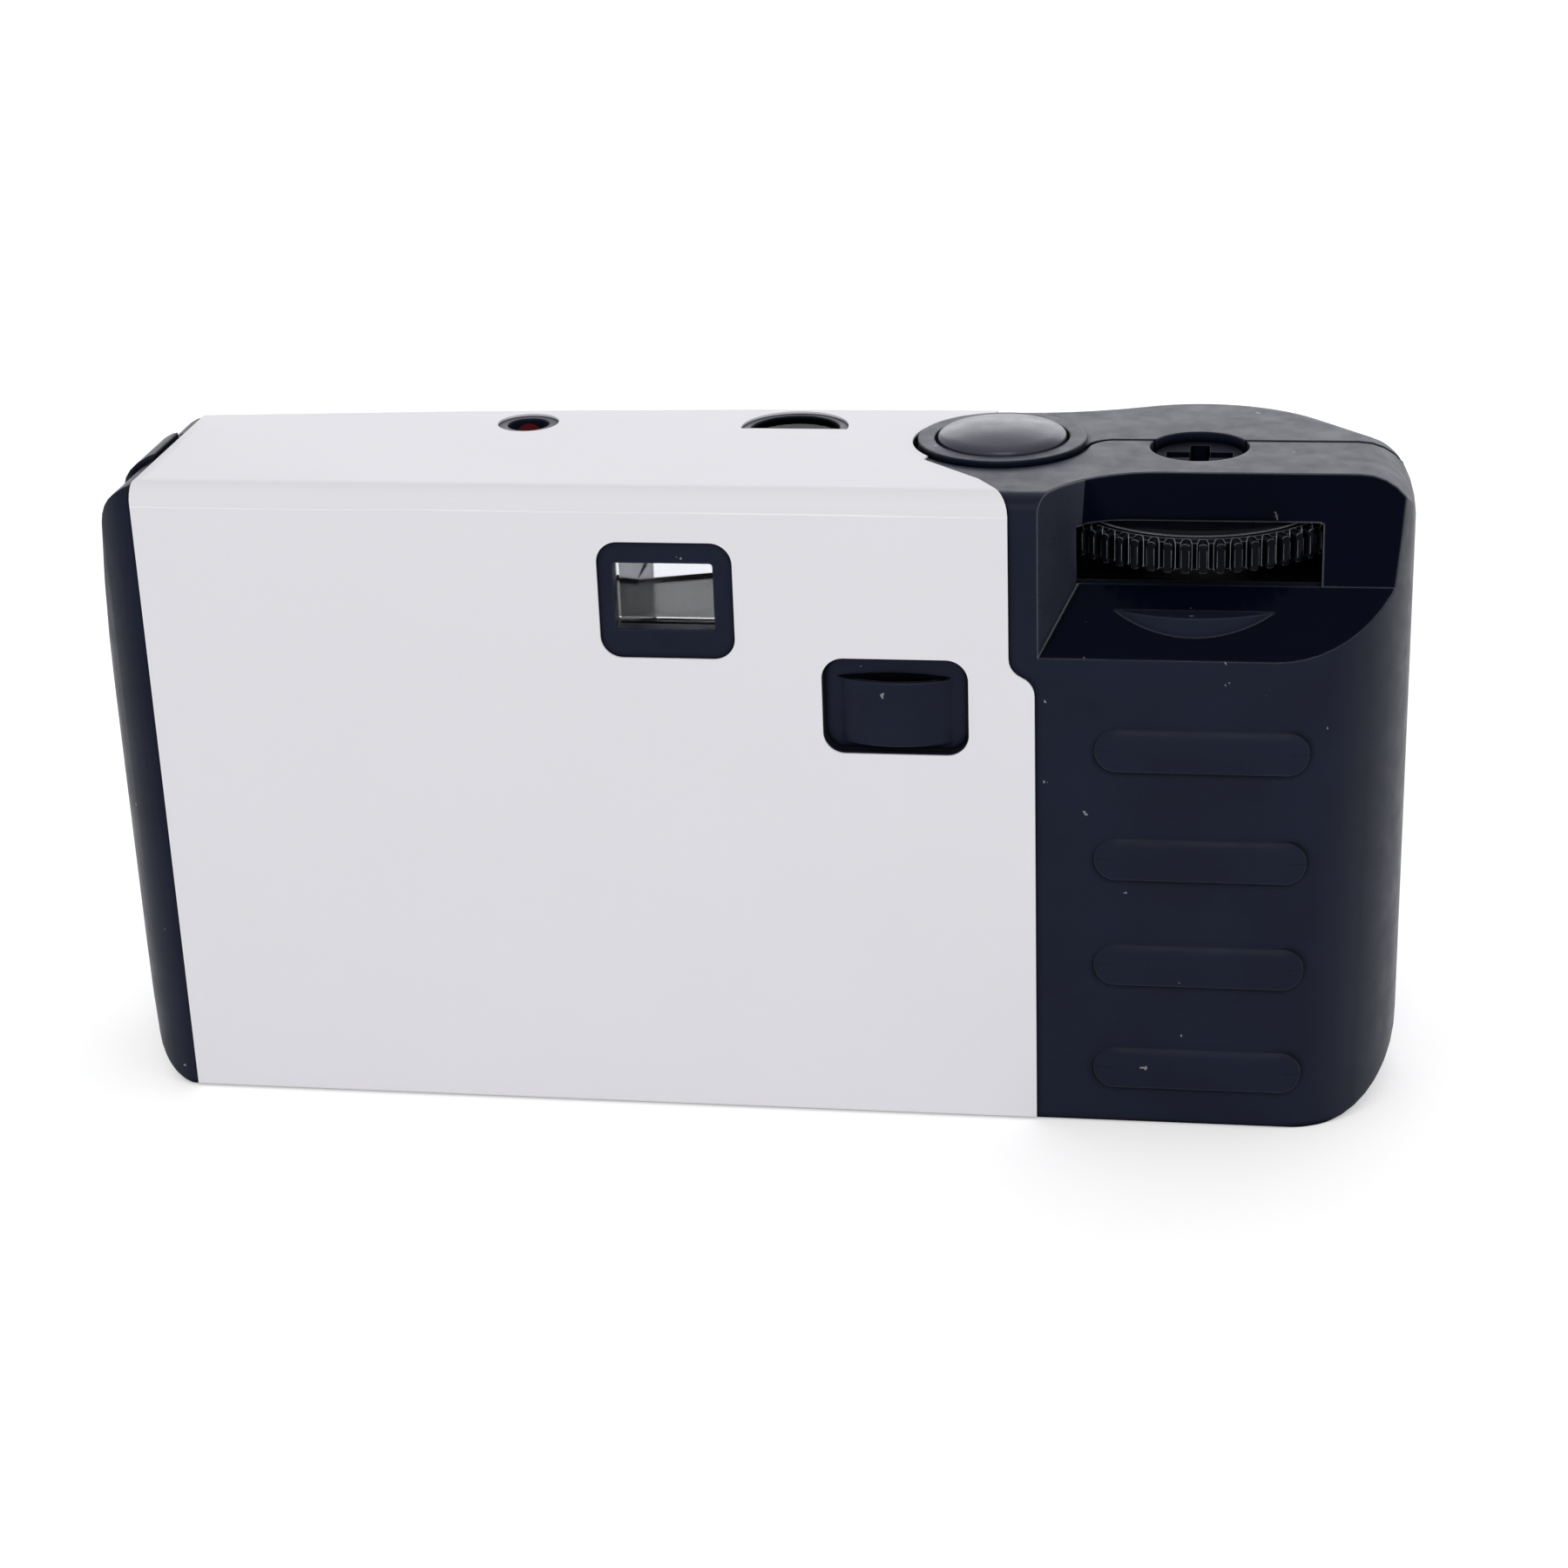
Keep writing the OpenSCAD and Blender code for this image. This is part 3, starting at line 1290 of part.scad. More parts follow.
// Circuit board: upright board behind the front panel
module circuit_board() color("#2f6b46") {
    block([roll_x - 12, board_y, 14], [lens_x - 12.2, board_front, deck_top]);
}

// Main capacitor: can that lies behind the reflector
module flash_capacitor() color("#22242b") {
    bar_x(
        reflector_back - cap_r - 0.7, deck_top + run_clear + cap_r, cap_r,
        flash_x - flash_w / 2 - 1, flash_x - flash_w / 2 - 1 + cap_l
    );
}

// Transformer: wound block on the board
module transformer() color(brass_tone) {
    block(
        [gate_left, board_y - transformer_d, film_z - transformer_h / 2 + 0.5],
        [gate_left + transformer_w, board_y, film_z + transformer_h / 2 + 0.5]
    );
}

// Trigger coil: small wound can on the board
module trigger_coil() color(brass_tone) {
    bar_z(gate_left + 7, board_y - coil_r - 0.1, coil_r, coil_z, coil_z + coil_l);
}

// Ready lamp: red lamp on two leads above the board
module ready_lamp() color("#8c1f24") {
    lamp_y = axis_y + 5;
    lamp_top = body_h;
    lamp_z = lamp_top - lamp_l;
    lead_y = board_y + board_t / 2;
    bar_z(lamp_x, lamp_y, lamp_r, lamp_z, lamp_top - lamp_r);
    translate([lamp_x, lamp_y, lamp_top - lamp_r]) sphere(lamp_r);
    for (s = [-1, 1])
        bar_z(lamp_x + s * lamp_lead_gap, lead_y, lamp_lead_r, deck_top, lamp_z + 0.5);
}

// Flash button: round push button on the front
module flash_button() color(black) {
    cap_y = flash_face_y + flash_button_rise;
    stop_face = bow_at(flash_button_x - flash_button_r - 1) - wall - 0.2;
    bar_y(flash_button_x, flash_button_z, flash_button_r, stop_face - 0.2, cap_y);
    bar_y(flash_button_x, flash_button_z, flash_button_r + 0.8, stop_face - 0.7, stop_face);
}

// Switch leaf: sprung strip on the board under the flash button
module switch_leaf() color(brass_tone) {
    block(
        [flash_button_x - 1.5, board_front, flash_button_z - 5],
        [flash_button_x + 1.5, board_front + 0.2, flash_button_z + 4]
    );
}

// Sync contact: strip that the open shutter blade meets
module sync_contact() color(brass_tone) {
    block([lens_x + 3, seat_y, film_z - 10.6], [lens_x + 7, seat_y + 0.4, film_z - 9.2]);
}

// Battery: small round cell lying under the lens
module battery() color("#6d7178") {
    cell_l = battery_l - 1.4;
    bar_x(battery_y, battery_z, battery_r, lens_x - battery_l / 2, lens_x - battery_l / 2 + cell_l);
    bar_x(battery_y, battery_z, 1.9, lens_x - battery_l / 2, lens_x + battery_l / 2);
}

// Battery contact strip that starts at x
module contact_strip(x) {
    block([x, battery_y - 3, wall + 0.3], [x + 0.4, battery_y + 3, battery_z + 4]);
}

// Contact at the battery's cap
module battery_contact_plus() color(brass_tone) {
    contact_strip(lens_x + battery_l / 2 + 0.2);
}

// Contact at the battery's base
module battery_contact_minus() color(brass_tone) {
    contact_strip(lens_x - battery_l / 2 - 0.6);
}

rear_cover();
front_cover();
main_body();
wrap_label();
lens_bezel();
taking_lens();
aperture_plate();
shutter_blade();
shutter_spring();
striker_lever();
striker_spring();
release_lever();
shutter_button();
button_spring();
thumbwheel();
ratchet_pawl();
cartridge_shell();
cartridge_end_caps();
cartridge_spool();
film_strip();
film_roll();
supply_spool();
sprocket_shaft();
counter_dial();
counter_window();
viewfinder_tunnel();
viewfinder_eyepiece();
viewfinder_objective();
flash_window();
flash_reflector();
flash_tube();
circuit_board();
flash_capacitor();
transformer();
trigger_coil();
ready_lamp();
flash_button();
switch_leaf();
sync_contact();
battery();
battery_contact_plus();
battery_contact_minus();
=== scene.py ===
import math

import bmesh
import bpy
from mathutils import Matrix, Vector


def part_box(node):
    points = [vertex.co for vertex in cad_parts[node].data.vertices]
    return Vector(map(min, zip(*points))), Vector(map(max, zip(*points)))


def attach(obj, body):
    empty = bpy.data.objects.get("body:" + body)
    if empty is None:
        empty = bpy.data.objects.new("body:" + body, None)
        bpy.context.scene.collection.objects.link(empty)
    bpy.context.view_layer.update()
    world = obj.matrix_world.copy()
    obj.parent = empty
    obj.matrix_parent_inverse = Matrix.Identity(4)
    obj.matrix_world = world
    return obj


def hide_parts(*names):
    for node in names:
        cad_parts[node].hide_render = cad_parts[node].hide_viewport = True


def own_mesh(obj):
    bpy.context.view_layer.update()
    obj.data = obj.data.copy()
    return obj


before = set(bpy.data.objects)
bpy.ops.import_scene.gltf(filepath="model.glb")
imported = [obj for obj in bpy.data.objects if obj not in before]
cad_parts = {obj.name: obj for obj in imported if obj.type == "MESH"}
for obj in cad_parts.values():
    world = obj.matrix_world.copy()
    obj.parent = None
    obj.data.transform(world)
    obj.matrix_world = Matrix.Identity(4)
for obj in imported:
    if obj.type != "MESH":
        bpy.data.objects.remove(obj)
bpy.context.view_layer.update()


# Chassis: one dull black polystyrene moulding with the film gate, the light tunnel, the mechanism
# deck and both film chambers. It is shot in an etched tool, and every inner piece clips onto it.
MM = 0.001
CHASSIS_BLACK = (0.012, 0.012, 0.015)
FLOW_SIZE, FLOW_CHANGE = 9 * MM, 0.4
PATCH_SIZE, PATCH_CHANGE = 2 * MM, 0.05
GRAIN_DEPTH = 0.02 * MM
# Painted shade: colour and gloss darken near corners, creases, gaps and the floor.
CORNER_SHADE_REACH, CORNER_SHADE_BLACK = 0.7 * MM, (0.0008, 0.0008, 0.001)
CORNER_SHADE_RANGE, CORNER_SHADE_LEAST = (0.6, 0.96), 0.05
# Pale edges stand partly for rubbed wear and partly for a painted highlight on rounded edges.
RUB_HIGHLIGHT_SIZE, RUB_HIGHLIGHT_PALE = 5 * MM, (0.6, 0.62, 0.7)
RUB_HIGHLIGHT_RANGE, RUB_HIGHLIGHT_LEAST = (0.75, 0.99), 0.55
SLANT_GLOSS, SLANT_RANGE = 2.2, (0.15, 0.6)
LINT_SPACING, LINT_WIDTH, LINT_STRETCH = 1.8 * MM, 0.2 * MM, (1.0, 1.0, 0.6)
LINT_SHARE, LINT_GREY = 0.28, (0.25, 0.25, 0.27)
BLOOM_ROUGH, BLOOM_TINT = 0.35, (0.86, 0.88, 1.0, 1.0)


def put(tree, kind, inputs=None, **options):
    """Adds a node, sets its options and fills its inputs with values or with other nodes' outputs."""
    made = tree.nodes.new(kind)
    for key, value in options.items():
        setattr(made, key, value)
    for key, value in (inputs or {}).items():
        if isinstance(value, bpy.types.NodeSocket):
            tree.links.new(value, made.inputs[key])
        else:
            made.inputs[key].default_value = value
    return made


def new_finish(name):
    """A material with its node tree, its shader and the piece's own coordinates."""
    material = bpy.data.materials.new(name)
    material.use_nodes = True
    tree = material.node_tree
    place = put(tree, "ShaderNodeTexCoord").outputs["Object"]
    return material, tree, tree.nodes["Principled BSDF"], place


def tint(tree, amount, low, high):
    """Colour that goes from low to high with the amount."""
    ends = [c if isinstance(c, bpy.types.NodeSocket) else (*c, 1) for c in (low, high)]
    return put(tree, "ShaderNodeMix", {0: amount, 6: ends[0], 7: ends[1]}, data_type="RGBA").outputs[2]


def between(tree, amount, low, high, start=0.3, end=0.7):
    """Number that goes from low to high as the amount goes from start to end."""
    ends = {"Value": amount, "From Min": start, "From Max": end, "To Min": low, "To Max": high}
    return put(tree, "ShaderNodeMapRange", ends).outputs["Result"]


def math_of(tree, operation, first, second=0.0):
    """Result of one sum on two numbers."""
    return put(tree, "ShaderNodeMath", {0: first, 1: second}, operation=operation).outputs[0]


def noise(tree, place, size, detail=3.0):
    """Soft random pattern whose features are about size across."""
    return put(tree, "ShaderNodeTexNoise", {"Vector": place, "Scale": 1 / size, "Detail": detail}).outputs["Fac"]


def lint(tree, place):
    """1 on a few stray fibres and specks, and 0 elsewhere."""
    bent = put(
        tree, "ShaderNodeTexNoise", {"Vector": place, "Scale": 2.0 / LINT_SPACING, "Detail": 5.0}
    ).outputs["Color"]
    wander = put(tree, "ShaderNodeVectorMath", {0: bent, "Scale": 0.8 * LINT_SPACING}, operation="SCALE").outputs[0]
    moved = put(tree, "ShaderNodeVectorMath", {0: place, 1: wander}, operation="ADD").outputs[0]
    drawn = put(tree, "ShaderNodeMapping", {"Vector": moved, "Scale": LINT_STRETCH}).outputs["Vector"]
    cells = put(tree, "ShaderNodeTexVoronoi", {"Vector": drawn, "Scale": 1 / LINT_SPACING}).outputs
    chosen = put(tree, "ShaderNodeSeparateColor", {"Color": cells["Color"]}).outputs["Red"]
    size = between(tree, chosen, 0.0, LINT_WIDTH / LINT_SPACING, 1 - LINT_SHARE, 1.0)
    return math_of(tree, "LESS_THAN", cells["Distance"], size)


def moulded(
    name, colour, rough, shine=0.5, grain=0.25, grain_size=0.22 * MM, soft_edge=0.0, rub_and_highlight=0.0, dust=0.0,
    bloom=0.0,
):
    """Moulded plastic: flow clouds, etched grain, pale edges of wear and painted highlight, painted shade in
    corners and a little lint.
    """
    material, tree, shader, place = new_finish(name)
    cloud = noise(tree, place, FLOW_SIZE, 4.0)
    tone = tint(tree, cloud, [(1 - FLOW_CHANGE) * c for c in colour], [(1 + FLOW_CHANGE) * c for c in colour])
    roughness = between(tree, noise(tree, place, PATCH_SIZE), rough - PATCH_CHANGE, rough + PATCH_CHANGE)
    height = noise(tree, place, grain_size, 2.0)
    bump = put(tree, "ShaderNodeBump", {"Height": height, "Strength": grain, "Distance": GRAIN_DEPTH})
    if soft_edge:
        rounded = put(tree, "ShaderNodeBevel", {"Radius": soft_edge}, samples=6).outputs["Normal"]
        flat = put(tree, "ShaderNodeNewGeometry").outputs["Normal"]
        tree.links.new(rounded, bump.inputs["Normal"])
        turned = put(tree, "ShaderNodeVectorMath", {0: rounded, 1: flat}, operation="DOT_PRODUCT").outputs["Value"]
        # Painted shade: the colour darkens to near black and the gloss drops where other surfaces are close.
        corner = put(tree, "ShaderNodeAmbientOcclusion", {"Distance": CORNER_SHADE_REACH}, samples=8)
        unshaded = between(tree, corner.outputs["AO"], CORNER_SHADE_LEAST, 1.0, *CORNER_SHADE_RANGE)
        tone = tint(tree, unshaded, CORNER_SHADE_BLACK, tone)
        # Pale edges: partly rubbed wear, partly a painted highlight where a rounded edge would catch light.
        rub_highlight_mask = between(tree, turned, rub_and_highlight, 0.0, *RUB_HIGHLIGHT_RANGE)
        patchy = between(tree, noise(tree, place, RUB_HIGHLIGHT_SIZE), RUB_HIGHLIGHT_LEAST, 1.0)
        tone = tint(tree, math_of(tree, "MULTIPLY", rub_highlight_mask, patchy), tone, RUB_HIGHLIGHT_PALE)
        slant = put(tree, "ShaderNodeLayerWeight", {"Blend": 0.5}).outputs["Facing"]
        gloss = between(tree, slant, shine, SLANT_GLOSS * shine, *SLANT_RANGE)
        tree.links.new(math_of(tree, "MULTIPLY", unshaded, gloss), shader.inputs["Specular IOR Level"])
    else:
        shader.inputs["Specular IOR Level"].default_value = shine
    if dust:
        tone = tint(tree, math_of(tree, "MULTIPLY", lint(tree, place), dust), tone, LINT_GREY)
    tree.links.new(tone, shader.inputs["Base Color"])
    tree.links.new(roughness, shader.inputs["Roughness"])
    tree.links.new(bump.outputs["Normal"], shader.inputs["Normal"])
    shader.inputs["Sheen Weight"].default_value = bloom
    shader.inputs["Sheen Roughness"].default_value = BLOOM_ROUGH
    shader.inputs["Sheen Tint"].default_value = BLOOM_TINT
    return material


def dress(material, *nodes):
    """Gives CAD nodes that keep their shape a finish."""
    for name in nodes:
        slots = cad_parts[name].data.materials
        slots.clear()
        slots.append(material)


chassis_plastic = moulded("chassis_plastic", CHASSIS_BLACK, 0.55, 0.4)
dress(chassis_plastic, "main_body", "aperture_plate", "cartridge_spool", "supply_spool", "release_lever")


# Film and cartridge: a green printed steel shell with crimped bright caps takes up brown film from
# the roll that is wound ready in the left chamber. A white nylon sprocket is turned by its holes.
CARTRIDGE_GREEN = (0.05, 0.19, 0.10)
FILM_BROWN = (0.15, 0.085, 0.045)
NYLON_WHITE = (0.78, 0.78, 0.75)
STEEL = (0.55, 0.56, 0.58)
ROLL_LINE, ROLL_DEPTH = 1.2 * MM, 0.01 * MM
ROLL_DARK, ROLL_CHANGE = 0.86, 0.08


def sheet_metal(name, colour, rough, brush=(1, 1, 12)):
    """Rolled metal with fine drawing lines along one way and dull patches."""
    material, tree, shader, place = new_finish(name)
    drawn = put(tree, "ShaderNodeMapping", {"Vector": place, "Scale": brush}).outputs["Vector"]
    lines = noise(tree, drawn, ROLL_LINE, 4.0)
    tree.links.new(tint(tree, lines, [ROLL_DARK * c for c in colour], colour), shader.inputs["Base Color"])
    tree.links.new(between(tree, lines, rough - ROLL_CHANGE, rough + ROLL_CHANGE), shader.inputs["Roughness"])
    bump = put(tree, "ShaderNodeBump", {"Height": lines, "Strength": 0.15, "Distance": ROLL_DEPTH})
    tree.links.new(bump.outputs["Normal"], shader.inputs["Normal"])
    shader.inputs["Metallic"].default_value = 1.0
    return material


spring_steel = sheet_metal("spring_steel", STEEL, 0.32)
white_nylon = moulded("white_nylon", NYLON_WHITE, 0.5, 0.4, 0.15)
dress(moulded("cartridge_print", CARTRIDGE_GREEN, 0.35, 0.5, 0.1), "cartridge_shell")
dress(spring_steel, "cartridge_end_caps")
dress(moulded("film_base", FILM_BROWN, 0.18, 0.6, 0.04), "film_strip", "film_roll")
dress(white_nylon, "sprocket_shaft")


# Counter dial: notched white nylon disc that a finger on the sprocket's shaft steps on, with the
# frame numbers pad-printed round it so that one shows in the window on top.
DIAL_CENTRE = Vector((9.15, 0.6, 56.5)) * MM
NUMBER_RING = 6.4 * MM
NUMBER_SIZE = 1.9 * MM
PRINT_DEPTH = 0.02 * MM
WINDOW_ANGLE = math.radians(155)
FIRST_NUMBER, LAST_NUMBER, NUMBER_STEP = 0, 27, 3
DIAL_INK = (0.015, 0.015, 0.018)
SHARP = math.radians(30)
WELD = 0.001 * MM
dress(white_nylon, "counter_dial")


def add_piece(name, work, crease, *materials):
    """Object from a finished bmesh, shaded round up to the crease angle."""
    for face in work.faces:
        face.smooth = True
    for edge in work.edges:
        edge.smooth = len(edge.link_faces) == 2 and edge.calc_face_angle(0) < crease
    mesh = bpy.data.meshes.new(name)
    work.to_mesh(mesh)
    work.free()
    for material in materials:
        mesh.materials.append(material)
    piece = bpy.data.objects.new(name, mesh)
    bpy.context.scene.collection.objects.link(piece)
    return piece


def plain_mesh(thing):
    """Mesh of an object with all that its modifiers and curves do to it."""
    bpy.context.view_layer.update()
    return bpy.data.meshes.new_from_object(thing.evaluated_get(bpy.context.evaluated_depsgraph_get()))


numbers = bmesh.new()
for count in range(FIRST_NUMBER, LAST_NUMBER + 1, NUMBER_STEP):
    figure = bpy.data.curves.new("figure", "FONT")
    figure.body = str(count)
    figure.size = NUMBER_SIZE
    figure.extrude = PRINT_DEPTH
    figure.align_x, figure.align_y = "CENTER", "CENTER"
    drawn_figure = bpy.data.objects.new("figure", figure)
    bpy.context.scene.collection.objects.link(drawn_figure)
    flat = plain_mesh(drawn_figure)
    turn = 2 * math.pi * count / (LAST_NUMBER + NUMBER_STEP)
    flat.transform(
        Matrix.Translation(DIAL_CENTRE) @ Matrix.Rotation(turn + WINDOW_ANGLE, 4, "Z")
        @ Matrix.Translation((NUMBER_RING, 0, 0)) @ Matrix.Rotation(-WINDOW_ANGLE, 4, "Z")
    )
    numbers.from_mesh(flat)
    bpy.data.objects.remove(drawn_figure)
bmesh.ops.remove_doubles(numbers, verts=numbers.verts, dist=WELD)
dial_print = add_piece("dial_numbers", numbers, SHARP, moulded("dial_ink", DIAL_INK, 0.6, 0.3, 0.1))
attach(dial_print, "counter")


# Shutter and release train: stamped steel blade, striker and pawl on pins of the chassis. A flat
# hairspring brings the blade back, a short coil the striker, and a taller coil lifts the button.
COIL_WIRE, COIL_PITCH, COIL_CLEAR = 0.25 * MM, 0.56 * MM, 0.06 * MM
HAIR_PITCH, HAIR_INSIDE = 0.26 * MM, 1.45 * MM
WIRE_SHARP = math.radians(50)
dress(spring_steel, "shutter_blade", "striker_lever", "ratchet_pawl")


def new_maker(name, kinds):
    """An empty node tree for a shape, with a named input for each of its sizes."""
    tree = bpy.data.node_groups.new(name, "GeometryNodeTree")
    tree.interface.new_socket("Geometry", in_out="OUTPUT", socket_type="NodeSocketGeometry")
    for label, kind in kinds.items():
        tree.interface.new_socket(label, in_out="INPUT", socket_type="NodeSocket" + kind)
    return tree, put(tree, "NodeGroupInput").outputs


def grow(tree, sizes):
    """Plain mesh that a node tree makes with its sizes filled in."""
    holder = bpy.data.objects.new(tree.name, bpy.data.meshes.new(tree.name))
    bpy.context.scene.collection.objects.link(holder)
    maker = holder.modifiers.new("maker", "NODES")
    maker.node_group = tree
    for item in tree.interface.items_tree:
        if item.in_out == "INPUT":
            maker[item.identifier] = sizes[item.name]
    made = plain_mesh(holder)
    bpy.data.objects.remove(holder)
    return made


coil_tree, coil_size = new_maker("wire_coil", {
    "Turns": "Float", "First radius": "Float", "Last radius": "Float", "Wire radius": "Float",
    "Height": "Float", "Foot": "Vector", "Tilt": "Vector", "Material": "Material",
})
coil_line = put(coil_tree, "GeometryNodeCurveSpiral", {
    "Resolution": 40, "Rotations": coil_size["Turns"], "Start Radius": coil_size["First radius"],
    "End Radius": coil_size["Last radius"], "Height": coil_size["Height"],
}).outputs[0]
wire_round = put(
    coil_tree, "GeometryNodeCurvePrimitiveCircle", {"Resolution": 10, "Radius": coil_size["Wire radius"]}
).outputs[0]
coil = put(
    coil_tree, "GeometryNodeCurveToMesh", {"Curve": coil_line, "Profile Curve": wire_round, "Fill Caps": True}
).outputs[0]
coil = put(coil_tree, "GeometryNodeTransform", {
    "Geometry": coil, "Translation": coil_size["Foot"], "Rotation": coil_size["Tilt"],
}).outputs[0]
coil = put(coil_tree, "GeometryNodeRealizeInstances", {"Geometry": coil}).outputs[0]
coil = put(coil_tree, "GeometryNodeSetMaterial", {"Geometry": coil, "Material": coil_size["Material"]}).outputs[0]
put(coil_tree, "NodeGroupOutput", {"Geometry": coil})


def stand_for(piece, node, body):
    """The piece takes a CAD node's place on its body."""
    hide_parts(node)
    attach(piece, body)


def wind(node, name, along):
    """Wire spring that fills a CAD spring's room along one direction, wound flat where the room is thin."""
    near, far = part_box(node)
    room = far[along] - near[along]
    across = (along + 1) % 3
    flat = room < 2 * COIL_WIRE
    wire = room / 2 if flat else COIL_WIRE
    last = (far[across] - near[across]) / 2 - wire - COIL_CLEAR
    first = HAIR_INSIDE + wire if flat else last
    height = room - 2 * wire
    foot = (near + far) / 2
    foot[along] = near[along] + wire
    work = bmesh.new()
    work.from_mesh(grow(coil_tree, {
        "Turns": (last - first) / HAIR_PITCH if flat else height / COIL_PITCH, "First radius": first,
        "Last radius": last, "Wire radius": wire, "Height": height, "Foot": foot,
        "Tilt": (-math.pi / 2 if along == 1 else 0.0, 0.0, 0.0), "Material": spring_steel,
    }))
    bmesh.ops.remove_doubles(work, verts=work.verts, dist=WELD)
    spring = add_piece(name, work, WIRE_SHARP, spring_steel)
    stand_for(spring, node, "camera")
    return spring, near


wind("shutter_spring", "blade_hairspring", 1)
wind("striker_spring", "striker_coil", 2)
button_coil, coil_foot = wind("button_spring", "button_coil", 2)
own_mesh(button_coil)


# Flash unit: lacquered board with its wound parts, a sleeved capacitor, a foil reflector with a
# glass tube, and a small cell between two plated strips under the lens.
BOARD_GREEN = (0.03, 0.16, 0.07)
SLEEVE_BLACK = (0.02, 0.02, 0.028)
COPPER = (0.55, 0.29, 0.12)
BRASS = (0.72, 0.55, 0.24)
CELL_GREY = (0.24, 0.26, 0.29)
LAMP_RED = (0.06, 0.006, 0.007)
FOIL_BRIGHT = (0.9, 0.9, 0.92)
GLASS_CLEAR = (0.96, 0.97, 0.98)
RIPPLE_SIZE, RIPPLE_DEPTH = 3 * MM, 0.02 * MM
RIPPLE_DARK, RIPPLE_HAZE = 0.97, 0.03


def clear(name, colour, rough, ripple=0.03, index=1.49):
    """Clear moulded plastic or glass with a faint ripple and a little haze."""
    material, tree, shader, place = new_finish(name)
    wave = noise(tree, place, RIPPLE_SIZE)
    tree.links.new(tint(tree, wave, [RIPPLE_DARK * c for c in colour], colour), shader.inputs["Base Color"])
    tree.links.new(between(tree, wave, rough, rough + RIPPLE_HAZE), shader.inputs["Roughness"])
    bump = put(tree, "ShaderNodeBump", {"Height": wave, "Strength": ripple, "Distance": RIPPLE_DEPTH})
    tree.links.new(bump.outputs["Normal"], shader.inputs["Normal"])
    shader.inputs["Transmission Weight"].default_value = 1.0
    shader.inputs["IOR"].default_value = index
    return material


dress(moulded("board_lacquer", BOARD_GREEN, 0.3, 0.5, 0.3, 1.5 * MM), "circuit_board")
dress(moulded("capacitor_sleeve", SLEEVE_BLACK, 0.25, 0.5, 0.08), "flash_capacitor")
dress(sheet_metal("copper_winding", COPPER, 0.35, (1, 1, 30)), "transformer", "trigger_coil")
dress(sheet_metal("reflector_foil", FOIL_BRIGHT, 0.12), "flash_reflector")
dress(clear("tube_glass", GLASS_CLEAR, 0.02, index=1.5), "flash_tube")
dress(sheet_metal("cell_wrap", CELL_GREY, 0.4, (6, 1, 1)), "battery")
dress(
    sheet_metal("contact_brass", BRASS, 0.3), "switch_leaf", "sync_contact", "battery_contact_plus",
    "battery_contact_minus",
)
dress(moulded("lamp_red", LAMP_RED, 0.5, 0.0, 0.03), "ready_lamp")


# Viewfinder: a black tunnel with polished walls on the deck, a thin eyepiece at the back and a
# hollow lens behind the front window whose bright skirt lies on the tunnel's floor.
FINDER = Vector((-6.05, 0, 51.7)) * MM
EYE_HALF = (4.6 * MM, 3.2 * MM)
EYE_REAR, EYE_THICK, EYE_CROWN = -14.2 * MM, 1.1 * MM, 0.12 * MM
EYE_STEPS = 12
SKIRT_REAR_LEFT, SKIRT_REAR_RIGHT, SKIRT_FRONT = -2.0 * MM, 1.6 * MM, 6.4 * MM
SKIRT_HALF, SKIRT_LIFT, SKIRT_THICK, SKIRT_EDGE = 5.2 * MM, 0.02 * MM, 0.3 * MM, 0.06 * MM
FLOOR_REAR, FLOOR_FRONT = Vector((0, -14.3, 48.35)) * MM, Vector((0, 8.2, 47.4)) * MM
LENS_CLEAR, EYEPIECE_GREY = (0.95, 0.97, 0.98), (0.8, 0.8, 0.79)
TUNNEL_BLACK = (0.004, 0.004, 0.006)
SKIRT_SILVER = (0.52, 0.52, 0.54)

lens_plastic = clear("lens_plastic", LENS_CLEAR, 0.0, 0.01)
dress(moulded("tunnel_plastic", TUNNEL_BLACK, 0.16, 0.09, 0.03, 1.5 * MM), "viewfinder_tunnel")
dress(lens_plastic, "viewfinder_objective")

eye = bmesh.new()
eye_rows = []
for side_y, crown in ((EYE_REAR, EYE_CROWN), (EYE_REAR + EYE_THICK, 0.0)):
    for i in range(EYE_STEPS + 1):
        u = 2 * i / EYE_STEPS - 1
        row = []
        for j in range(EYE_STEPS + 1):
            v = 2 * j / EYE_STEPS - 1
            y = side_y + crown * (u * u + v * v) / 2
            row.append(eye.verts.new((FINDER.x + u * EYE_HALF[0], y, FINDER.z + v * EYE_HALF[1])))
        eye_rows.append(row)
rear_rows, front_rows = eye_rows[:EYE_STEPS + 1], eye_rows[EYE_STEPS + 1:]
for i in range(EYE_STEPS):
    for j in range(EYE_STEPS):
        for rows in (rear_rows, front_rows):
            eye.faces.new((rows[i][j], rows[i][j + 1], rows[i + 1][j + 1], rows[i + 1][j]))
    for j in (0, EYE_STEPS):
        eye.faces.new((rear_rows[i][j], rear_rows[i + 1][j], front_rows[i + 1][j], front_rows[i][j]))
        eye.faces.new((rear_rows[j][i], rear_rows[j][i + 1], front_rows[j][i + 1], front_rows[j][i]))
bmesh.ops.recalc_face_normals(eye, faces=eye.faces)
eyepiece_plastic = clear("eyepiece_plastic", EYEPIECE_GREY, 0.0, 0.01, 1.12)
eyepiece = add_piece("eyepiece_lens", eye, SHARP, eyepiece_plastic)
stand_for(eyepiece, "viewfinder_eyepiece", "camera")


def floor_at(y):
    """Height of the tunnel's floor at a depth."""
    share = (y - FLOOR_REAR.y) / (FLOOR_FRONT.y - FLOOR_REAR.y)
    return FLOOR_REAR.z + share * (FLOOR_FRONT.z - FLOOR_REAR.z)


